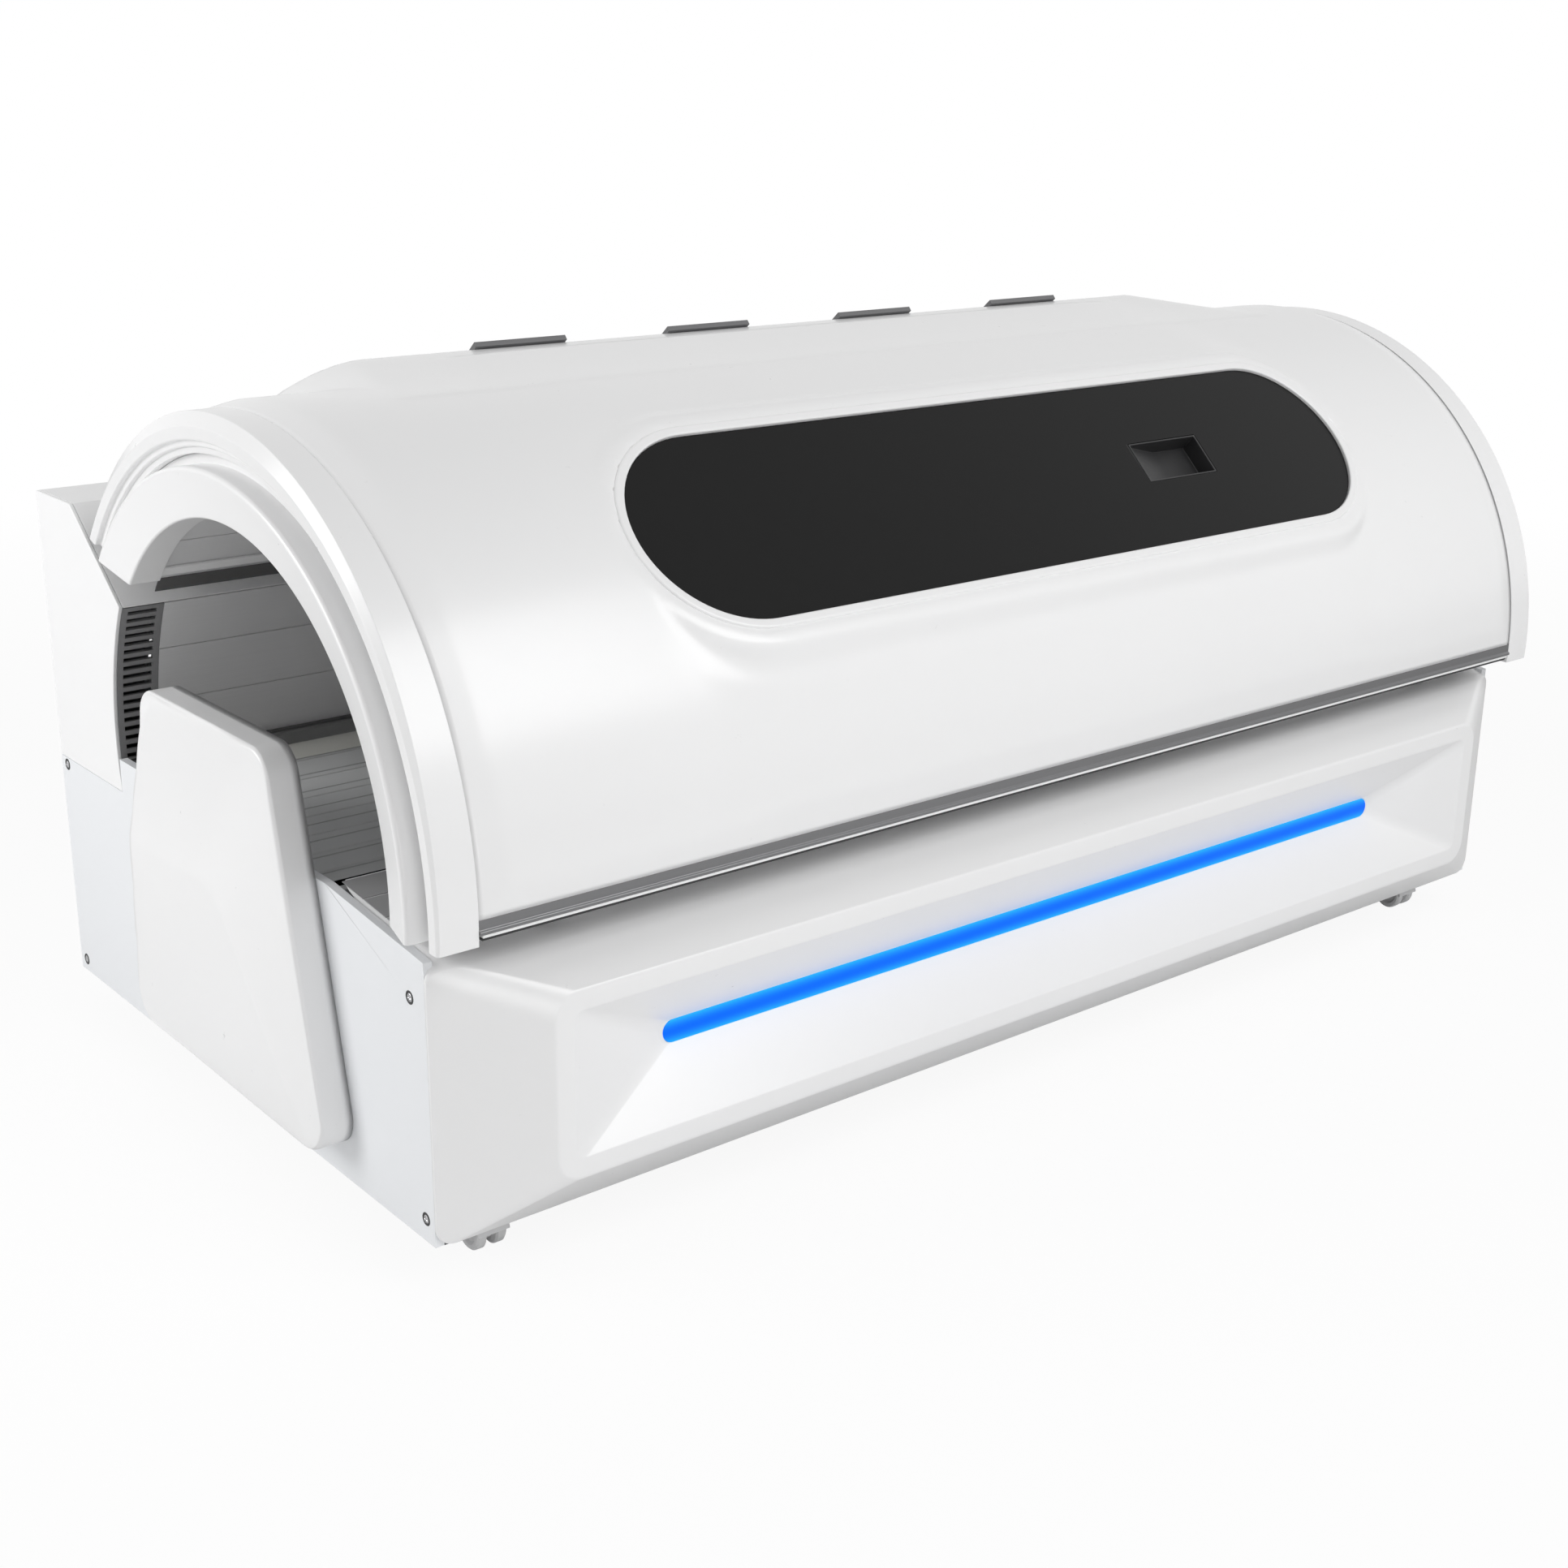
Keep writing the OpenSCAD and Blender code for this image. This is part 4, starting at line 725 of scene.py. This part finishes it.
def build_shell(step=0.008):
    """The canopy shell as a grid of rays, with its lines on the roof's edges and the vents' holes."""
    vent_edges = [v + side*vent_hole for v in vent_xs for side in (-1, 1)]
    xs = lines_through(-shell_half - left_over, shell_half - right_gap, step,
                       [ramp - shell_half, -roof_half, roof_half, shell_half - ramp] + vent_edges)
    rear, front = edge_angles(shell_r, skin_edge_off, front_edge_z)
    hole = [rear_face_angle(vent_mid + vent_hole), rear_face_angle(vent_mid - vent_hole)]
    turns = lines_through(float(rear), float(front), step/shell_r,
                          [*hole, rear_face_angle(0.0), radians(roof_front_deg)])
    x, angle = np.meshgrid(xs, turns, indexing="ij")
    turn = radians(panel_deg) - angle
    facing = np.abs(turn) < 1.0
    lean = np.maximum(np.cos(turn), 0.2)
    r = smooth_max(barrel(x), roof(x, angle), roof_fillet)
    raised = mound(x, turn)
    away = from_panel(x, raised, turn)
    r = smooth_max(r, raised, mound_fillet*np.clip((away - mound_r)/fillet_reach, 0.05, 1))
    away = from_panel(x, r, turn)
    flush = (panel_off + mound_top + 0.4*np.maximum(away - trim_r - 0.004, 0))/lean
    r = np.where((away < 0.20) & facing, smooth_min(r, flush, 0.003), r)
    seat = (panel_off - seat_depth)/lean
    r = np.where((away < trim_r - seat_margin) & facing, np.minimum(r, seat), r)
    facet = facet_off/np.maximum(np.cos(angle - radians(facet_deg)), 0.2)
    r = np.where(angle > radians(150), smooth_min(r, facet, facet_edge), r)
    points = np.stack([x + mid_x, skin_y + r*np.cos(angle), skin_z + r*np.sin(angle)], axis=-1)
    mesh = grid_mesh("canopy_skin", points)
    open_holes(mesh, xs, turns, hole)
    return mesh


def open_holes(mesh, xs, turns, hole):
    """Takes out the faces under each exhaust vent and behind the panel."""
    across, along = (xs[:-1] + xs[1:])/2, (turns[:-1] + turns[1:])/2
    wide = np.any([np.abs(across - v) < vent_hole for v in vent_xs], axis=0)
    deep = (along > hole[0]) & (along < hole[1])
    turn = radians(panel_deg) - along[None, :]
    window = (np.abs(turn) < 1.0) & (from_panel(across[:, None], panel_off, turn) < panel_r - window_margin)
    cut = ((wide[:, None] & deep[None, :]) | window).reshape(-1)
    bm = bmesh.new()
    bm.from_mesh(mesh)
    bm.faces.ensure_lookup_table()
    bmesh.ops.delete(bm, geom=[bm.faces[int(i)] for i in np.flatnonzero(cut)], context="FACES")
    bm.to_mesh(mesh)
    bm.free()


def real_wall(obj, thickness):
    """Gives a surface a wall on its inner side."""
    wall = obj.modifiers.new("wall", "SOLIDIFY")
    wall.thickness = thickness
    wall.offset = -1.0


def canopy_skin():
    """The shell as a piece with a real wall."""
    obj = bpy.data.objects.new("canopy_skin", build_shell())
    real_wall(obj, shell_wall)
    return place_piece(obj, gloss_white, "canopy", ["canopy_shell"])


skin = canopy_skin()
print("canopy skin", len(skin.data.polygons), "faces")


# %% [markdown]
# The end bands and end rings are turned profiles: one outline of radius and X with rounded corners, swept
# from the level front cut to the sloping rear cut. A band's outer side follows the skin, whose axis is not
# the ring's, so its outline changes a little from one angle to the next.

# %% Bands and rings
def rounded_line(corners, steps=5, closed=True):
    """Rounds each corner of a line of (point, radius) in space with an arc of a few points."""
    points = []
    count = len(corners)
    for i, (here, radius) in enumerate(corners):
        here = Vector(here)
        ends = not closed and i in (0, count - 1)
        if ends or radius <= 0:
            points.append(here)
            continue
        before = (Vector(corners[i - 1][0]) - here).normalized()
        after = (Vector(corners[(i + 1) % count][0]) - here).normalized()
        half = before.angle(after)/2
        if half > 1.55:
            points.extend([here]*(steps + 1))
            continue
        reach = radius/tan(half)
        centre = here + (before + after).normalized()*radius/sin(half)
        start, end = here + before*reach - centre, here + after*reach - centre
        sweep = start.angle(end)
        for k in range(steps + 1):
            a = sin(sweep*(1 - k/steps))/sin(sweep)
            b = sin(sweep*k/steps)/sin(sweep)
            points.append(centre + start*a + end*b)
    return points


def rounded_outline(corners, steps=5):
    """A flat outline with rounded corners, each given by its two measures and its rounding."""
    return [(p.x, p.y) for p in rounded_line([((a, b, 0), rounding) for a, b, rounding in corners], steps)]


band_cut = band_low.z - axis_z


def turned_piece(name, outline_at, side, stations=120):
    """Sweeps an outline of (radius, x) about the canopy's inner axis between its two flat cuts."""
    first = radians(38.0)
    rows = []
    for k in range(stations):
        t = k/(stations - 1)
        r, x = np.array(rounded_outline(outline_at(first + (pi - first)*t))).T
        rear, front = edge_angles(r, axis_edge_off, band_cut)
        angle = rear + (front - rear)*t
        rows.append(np.stack([mid_x + side*x, axis_y + r*np.cos(angle), axis_z + r*np.sin(angle)], axis=-1))
    mesh = merged(grid_mesh(name, np.array(rows), closed_around=True), fill=True)
    obj = bpy.data.objects.new(name, mesh)
    soft_modifiers(obj, 0.0012, 2, corner=50)
    return obj


def skin_from_axis(angle):
    """Distance from the inner axis to the bands' circle about the skin's axis, along one angle."""
    along = (skin_y - axis_y)*cos(angle) + (skin_z - axis_z)*sin(angle)
    return along + sqrt(band_r**2 - (skin_y - axis_y)**2 - (skin_z - axis_z)**2 + along**2)


def from_rim(corners):
    """Corners of an outline, each given by its radius, its distance in from the rim and its rounding."""
    return [(r, rim_half - back, rounding) for r, back, rounding in corners]


def band_outline(angle):
    """Outline of an end band: its outer side on the skin, a bevel to the end face, two steps inside."""
    low, face, width = 0.4683, 0.503, rim_half - band_in
    outer = skin_from_axis(angle)
    bevel = (outer - face)*18/27
    return from_rim([(low, width, 0.001), (outer, width, 0.001), (outer, bevel, 0.002), (face, 0, 0.0015),
                     (low + 0.018, 0, 0.003), (low + 0.018, 0.008, 0.002), (low + 0.009, 0.008, 0.003),
                     (low + 0.009, 0.014, 0.001), (low, 0.014, 0.001)])


def ring_outline(angle):
    """Outline of an end ring: a groove behind its outer edge and a face that leans in."""
    inner, top, side = 0.388, 0.468, 0.455
    return from_rim([(inner, 0.050, 0.001), (top, 0.050, 0.001), (top, 0.024, 0.001), (side, 0.024, 0.001),
                     (side, rim_half - ring_out, 0.006), (inner, 0.006, 0.004)])


for side, word in ((-1, "left"), (1, "right")):
    for kind, outline_at in (("band", band_outline), ("ring", ring_outline)):
        piece = turned_piece(f"{word}_{kind}", outline_at, side)
        place_piece(piece, gloss_white, "canopy", [f"{word}_end_{kind}"])
print("band outer side from the inner axis, front and top",
      round(skin_from_axis(pi), 4), round(skin_from_axis(pi/2), 4))


# %% [markdown]
# The trim is a white moulding pressed round the black panel. It is one rounded section that runs round a
# long shape with half-circle ends, so it is swept along that path. The panel itself keeps the frame's shape.

# %% Panel trim
def panel_point(x, across, height):
    """A point given along the bed, up the panel's slope and out from the skin's axis."""
    turn = radians(panel_deg)
    return Vector((mid_x + x, skin_y + height*cos(turn) + across*sin(turn),
                   skin_z + height*sin(turn) - across*cos(turn)))


def swept_obround(name, section, arc_steps=40):
    """Sweeps a closed section of (radius, height) round a long shape with half-circle ends."""
    path = [(1, pi*(k/arc_steps - 0.5)) for k in range(arc_steps + 1)]
    path += [(-1, pi*(k/arc_steps + 0.5)) for k in range(arc_steps + 1)]
    rows = [[panel_point(end*panel_c + r*cos(a), r*sin(a), h) for r, h in section]
            for end, a in path]
    rows.append(rows[0])
    obj = bpy.data.objects.new(name, merged(grid_mesh(name, np.array(rows), closed_around=True)))
    weighted_normals(obj)
    return obj


seat, crown, trim_in = panel_off - 0.005, panel_off + 0.005, panel_r + 0.0003
trim_section = [(trim_in, seat, 0.0005), (trim_r, seat, 0.0005),
                (trim_r, crown, 0.0035), (trim_in, crown, 0.0025)]
trim = swept_obround("panel_trim_moulding", rounded_outline(trim_section))
place_piece(trim, gloss_white, "canopy", ["panel_trim"])
print("trim stands", round((crown - panel_off)*1000, 1), "mm proud of the panel")


# %% [markdown]
# Under the grey rail the canopy ends in a narrow light lip and a dark strip of painted shade, for the shadow
# gap below the lip. Both are long bars with soft edges, set back a little one behind the other so that each
# throws a thin shadow. Inside, a light bead and a dark strip close the last light panel along the canopy's
# rear edge.

# %% Edge strips of the canopy
rail_low, rail_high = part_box("canopy_rail")
lip_drop, shade_strip_drop = 0.0040, 0.0085


def long_bar(name, ys, zs, edge, material):
    """A bar a little shorter than the rail, with its depth and height measured from the rail's low edge."""
    spans = [(rail_low.x + 0.004, rail_high.x - 0.004),
             [rail_low.y + y for y in ys], [rail_low.z + z for z in zs]]
    bm = bmesh.new()
    bmesh.ops.create_cube(bm, size=1.0)
    for v in bm.verts:
        v.co = Vector([span[value > 0] for value, span in zip(v.co, spans)])
    obj = object_from(bm, name)
    soft_modifiers(obj, edge, 3)
    place_piece(obj, material, "canopy")


def arc_strip(name, start, end, inner, outer, material):
    """A strip along the inside of the canopy, between two angles and two radii about the inner axis."""
    low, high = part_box("canopy_light_panel")
    angles = [radians(start + (end - start)*k/6) for k in range(7)]
    section = [(outer, a) for a in angles] + [(inner, a) for a in reversed(angles)]
    bm = bmesh.new()
    ends = [[bm.verts.new((x, axis_y + r*cos(a), axis_z + r*sin(a))) for r, a in section]
            for x in (low.x + 0.002, high.x - 0.002)]
    ring_faces(bm, ends[::-1])
    bm.faces.new(ends[0])
    bm.faces.new(ends[1][::-1])
    bmesh.ops.recalc_face_normals(bm, faces=bm.faces)
    obj = object_from(bm, name)
    soft_modifiers(obj, 0.0006, 2)
    place_piece(obj, material, "canopy")


arc_strip("inner_light_strip", 41.0, 43.3, 0.3940, 0.3976, white_sheet)
arc_strip("inner_dark_strip", 35.8, 39.7, 0.3962, 0.3976, dark_sill)
long_bar("rail_lip", (0.0015, 0.020), (-lip_drop, 0.0004), 0.0012, gloss_white)
# The dark bar below the lip is painted shade: it stands for the shadow gap under the rail.
long_bar("rail_seal", (0.0045, 0.017), (-shade_strip_drop, 0.0004 - lip_drop), 0.0015, dark_plastic)
print("rail lip and seal hang", round(shade_strip_drop*1000, 1), "mm below the rail")


# %% [markdown]
# The front is one deep moulding: the deck rolls over into four sloping margins, a raised rim and a recess
# that runs in to the light bar. It is drawn as a set of ribs, from the deck or the flange, over the rim and
# down into the recess. Each rib's corners are rounded in space, so every edge has its own soft radius.

# %% Front fascia
def rounded_frame(half, z0, z1, radius, y, steps=10):
    """Points round a rectangle with rounded corners, seen from the front."""
    points = []
    for sx, z, start in ((1, z1, 0.5), (-1, z1, 1.0), (-1, z0, 1.5), (1, z0, 2.0)):
        cx, cz = sx*(half - radius), z - radius if z == z1 else z + radius
        for k in range(steps + 1):
            a = pi*(start - 0.5 + 0.5*k/steps)
            points.append(Vector((mid_x + cx + radius*cos(a), mid_y + y, cz + radius*sin(a))))
    return points


bar_half, bar_gap = (bar_high.x - bar_low.x)/2, 0.0003


def bar_frame(longer, taller, y):
    """Points round the light bar, with its ends and its top and foot moved out."""
    return rounded_frame(bar_half + longer, bar_z - bar_r - taller, bar_z + bar_r + taller, bar_r, y)


face_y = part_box("front_fascia")[0].y - mid_y
deck_depth, deck_rise, deck_z, deck_y = 0.230, 0.027, 0.435, -0.5035
# a frame is half its length, its foot and top, its corner radius and its place; then how round the rib is
loops = [
    (rounded_frame(1.054, 0.062, deck_z, 0.026, -0.541), 0.0),
    (rounded_frame(1.054, 0.062, deck_z, 0.026, -0.545), 0.003),
    (rounded_frame(0.923, 0.134, 0.382, 0.036, face_y), 0.009),
    (rounded_frame(0.897, 0.160, 0.356, 0.014, face_y), 0.005),
    (bar_frame(0.006, 0.0, -0.554), 0.004),
    (bar_frame(bar_gap, bar_gap, -0.554), 0.001),
    (bar_frame(bar_gap, bar_gap, -0.551), 0.0)]


def fascia_piece():
    """Lofts the loops with rounded ribs and gives the moulding its wall."""
    ribs = []
    steps = len(loops[0][0])//4
    for i in range(len(loops[0][0])):
        up = sin(0.5*pi*min(i, 2*steps - 1 - i)/(steps - 1)) if i < 2*steps else 0.0
        corners = [(points[i], radius) for points, radius in loops]
        corners[0] = (corners[0][0] + Vector((0, deck_depth*up*up, deck_rise*up*up)), 0.0)
        corners[1] = (corners[1][0], 0.003 + 0.052*up**3)
        ribs.append(rounded_line(corners, steps=7, closed=False))
    ribs.append(ribs[0])
    mesh = merged(grid_mesh("front_fascia_moulding", np.array(ribs)))
    obj = bpy.data.objects.new("front_fascia_moulding", mesh)
    real_wall(obj, 0.003)
    weighted_normals(obj)
    return place_piece(obj, gloss_white, "base", ["front_fascia", "front_deck"])


fascia = fascia_piece()
print("front moulding", len(fascia.data.vertices), "points")


# %% [markdown]
# Inside the arch the deck is covered with the same grey strips as the lying surface, so the grey runs on
# under the canopy. Each strip is a thin board with soft edges, and a narrow gap parts it from the next one.

# %% Deck strips
def deck_strips(front=-0.4400, rear=-0.2745, count=3, gap=0.003, side_gap=0.006, thick=0.0012):
    """Thin boards laid on the sloping deck behind the end rings."""
    left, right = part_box("bed_sheet")[0].x + side_gap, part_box("bed_sheet")[1].x - side_gap
    width = (rear - front)/count
    bm = bmesh.new()
    for k in range(count):
        corners = []
        for y, xs in ((front + k*width, (left, right)), (front + (k + 1)*width - gap, (right, left))):
            corners += [(x, y, deck_z + (y - deck_y)*deck_rise/deck_depth) for x in xs]
        low = [bm.verts.new(p) for p in corners]
        top = [bm.verts.new((x, y, z + thick)) for x, y, z in corners]
        bm.faces.new(top)
        bm.faces.new(low[::-1])
        ring_faces(bm, [top, low])
    obj = object_from(bm, "deck_strips")
    soft_modifiers(obj, 0.0004, 1)
    place_piece(obj, deck_grey, "base")


deck_strips()
print("deck strips laid")


# %% [markdown]
# The pod is a moulded cover on the left end panel. Its front is three shallow facets that meet in ridges:
# crisp between the upper and the lower one, and melting into a soft curve towards the top front corner.
# A height over the outline, blended from a few planes, gives each ridge its own softness.

# %% End pod
pod_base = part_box("end_pod")[1].x
pod_wall = 0.043
pod_top, pod_foot = 0.625, 0.112
front_top, front_foot, rear_top, rear_foot = -0.250, -0.355, 0.1125, 0.217
peak_y, peak_z = -0.140, 0.424


def pod_height(y, z):
    """Height of the pod's front above its side walls, from a plane for each facet and each margin."""
    down = (pod_top - z)/(pod_top - pod_foot)
    front_edge = front_top + (front_foot - front_top)*down
    rear_edge = rear_top + (rear_foot - rear_top)*down
    upper = 0.001 + 0.1542*(pod_top - z) - 0.038*(y - peak_y)
    front = 0.001 + 0.206*(y - front_edge)
    lower = 0.031 - 0.0203*(y - peak_y) + 0.0862*(z - peak_z)
    below = 0.004 + 0.12*(z - pod_foot)
    behind = 0.001 + 1.1*(rear_edge - y)
    face = smooth_min(smooth_min(upper, front, 0.014), lower, 0.0012)
    return smooth_min(smooth_min(face, below, 0.004), behind, 0.004)


def pod_outline(radius, steps=14):
    """The pod's outline of (y, z), with rounded corners and points also along its straight sides."""
    arcs = rounded_outline([(front_top, pod_top, radius), (rear_top, pod_top, radius),
                            (rear_foot, pod_foot, radius), (front_foot, pod_foot, radius)], steps)
    points = []
    for i, a in enumerate(arcs):
        b = arcs[(i + 1) % len(arcs)]
        pieces = max(1, int(round(dist(a, b)/0.012)))
        points += [(a[0] + (b[0] - a[0])*k/pieces, a[1] + (b[1] - a[1])*k/pieces) for k in range(pieces)]
    return points


def pod_piece(rings=36, corner=0.042, edge=0.004):
    """The pod: side walls, a small rounded edge, and rings that close in on the peak."""
    outline = np.array(pod_outline(corner))
    peak = np.array([peak_y, peak_z])

    def ring(x, at):
        """Points round the pod at one x, or at an x for each point."""
        return np.column_stack([np.broadcast_to(x, len(at)), at + [mid_y, 0]])

    rows = [ring(pod_base - depth, outline) for depth in (0.0, 0.012, 0.026, pod_wall - edge)]
    inward = peak - outline
    inward /= np.linalg.norm(inward, axis=1)[:, None]
    for k in range(1, 5):
        a = pi/2*k/4
        at = outline + inward*edge*(1 - cos(a))
        rise = np.maximum(pod_height(at[:, 0], at[:, 1]), 0.0)*(1 - cos(a))
        rows.append(ring(pod_base - pod_wall + edge*(1 - sin(a)) - rise, at))
    start = outline + inward*edge
    for k in range(1, rings + 1):
        at = start + (peak - start)*(k/rings)
        rows.append(ring(pod_base - pod_wall - pod_height(at[:, 0], at[:, 1]), at))
    mesh = merged(grid_mesh("end_pod_cover", np.array(rows), closed_around=True), fill=True)
    obj = bpy.data.objects.new("end_pod_cover", mesh)
    weighted_normals(obj)
    place_piece(obj, gloss_white, "base", ["end_pod"])


pod_piece()
print("pod peak stands", round(float(pod_height(peak_y, peak_z))*1000, 1), "mm above its walls")


# %% [markdown]
# The studio: a pale floor that keeps a soft shadow, a white surround, and large soft lamps. The lamps and
# the world light the bed at a plain level, so a colour renders about as it is written.

# %% Studio
def floor_material(near=2.0, far=4.5, shadow=0.08):
    """A pale floor that keeps a share of the bed's shadow near it and runs out into the white surround."""
    material, tree, principled = new_material("studio_floor")
    set_inputs(principled, [("Base Color", (0.90, 0.90, 0.90, 1)), ("Roughness", 0.7)])
    white = tree.nodes.new("ShaderNodeEmission")
    set_inputs(white, [("Color", (1, 1, 1, 1)), ("Strength", 1.0)])
    path = tree.nodes.new("ShaderNodeLightPath")
    reach = tree.nodes.new("ShaderNodeVectorMath")
    reach.operation = "LENGTH"
    tree.links.new(object_point(tree), reach.inputs[0])
    fade = maths(tree, "MULTIPLY_ADD", reach.outputs["Value"], 1/(far - near), -near/(far - near))
    fade = maths(tree, "MINIMUM", maths(tree, "MAXIMUM", fade, 0.0), 1.0)
    share = maths(tree, "MULTIPLY_ADD", fade, shadow, 1 - shadow)
    two_shaders(tree, maths(tree, "MULTIPLY", share, path.outputs["Is Camera Ray"]), principled, white)
    return material


def build_floor(half=24.0):
    """A round floor well beyond the frame."""
    bm = bmesh.new()
    bmesh.ops.create_circle(bm, cap_ends=True, segments=96, radius=half)
    obj = object_from(bm, "studio_floor")
    obj.data.materials.append(floor_material())
    obj.location.z = cad_low.z - 0.0005
    scene_objects.link(obj)


def build_world(level=0.31):
    """White to the camera and to reflections, and a softer level as light."""
    world = bpy.data.worlds.new("studio_surround")
    bpy.context.scene.world = world
    world.use_nodes = True
    tree = world.node_tree
    background = tree.nodes["Background"]
    background.inputs["Color"].default_value = (1, 1, 1, 1)
    path = tree.nodes.new("ShaderNodeLightPath")
    seen = 0.0
    for ray in ("Camera", "Glossy", "Transmission"):
        seen = maths(tree, "ADD", path.outputs[f"Is {ray} Ray"], seen)
    seen = maths(tree, "MINIMUM", seen, 1.0)
    tree.links.new(maths(tree, "MULTIPLY_ADD", seen, 1.0 - level, level), background.inputs["Strength"])


def add_lamp(name, place, target, size, watts):
    """A large square lamp that looks at a point."""
    data = bpy.data.lights.new(name, "AREA")
    data.shape = "SQUARE"
    data.size = size
    data.energy = watts
    lamp = bpy.data.objects.new(name, data)
    lamp.location = place
    lamp.rotation_euler = (Vector(target) - Vector(place)).to_track_quat("-Z", "Y").to_euler()
    scene_objects.link(lamp)


build_floor()
build_world()
add_lamp("front_lamp", (0.7, -3.4, 3.3), (0, -0.3, 0.7), 2.6, 84)
add_lamp("left_lamp", (-3.1, 0.9, 1.6), (-1.0, 0, 0.45), 1.4, 38)
add_lamp("fill_lamp", (-1.8, -3.6, 0.4), (-0.3, -0.5, 0.3), 1.6, 16)
bpy.context.scene.view_settings.view_transform = "Standard"
print("lamps", len(bpy.data.lights))
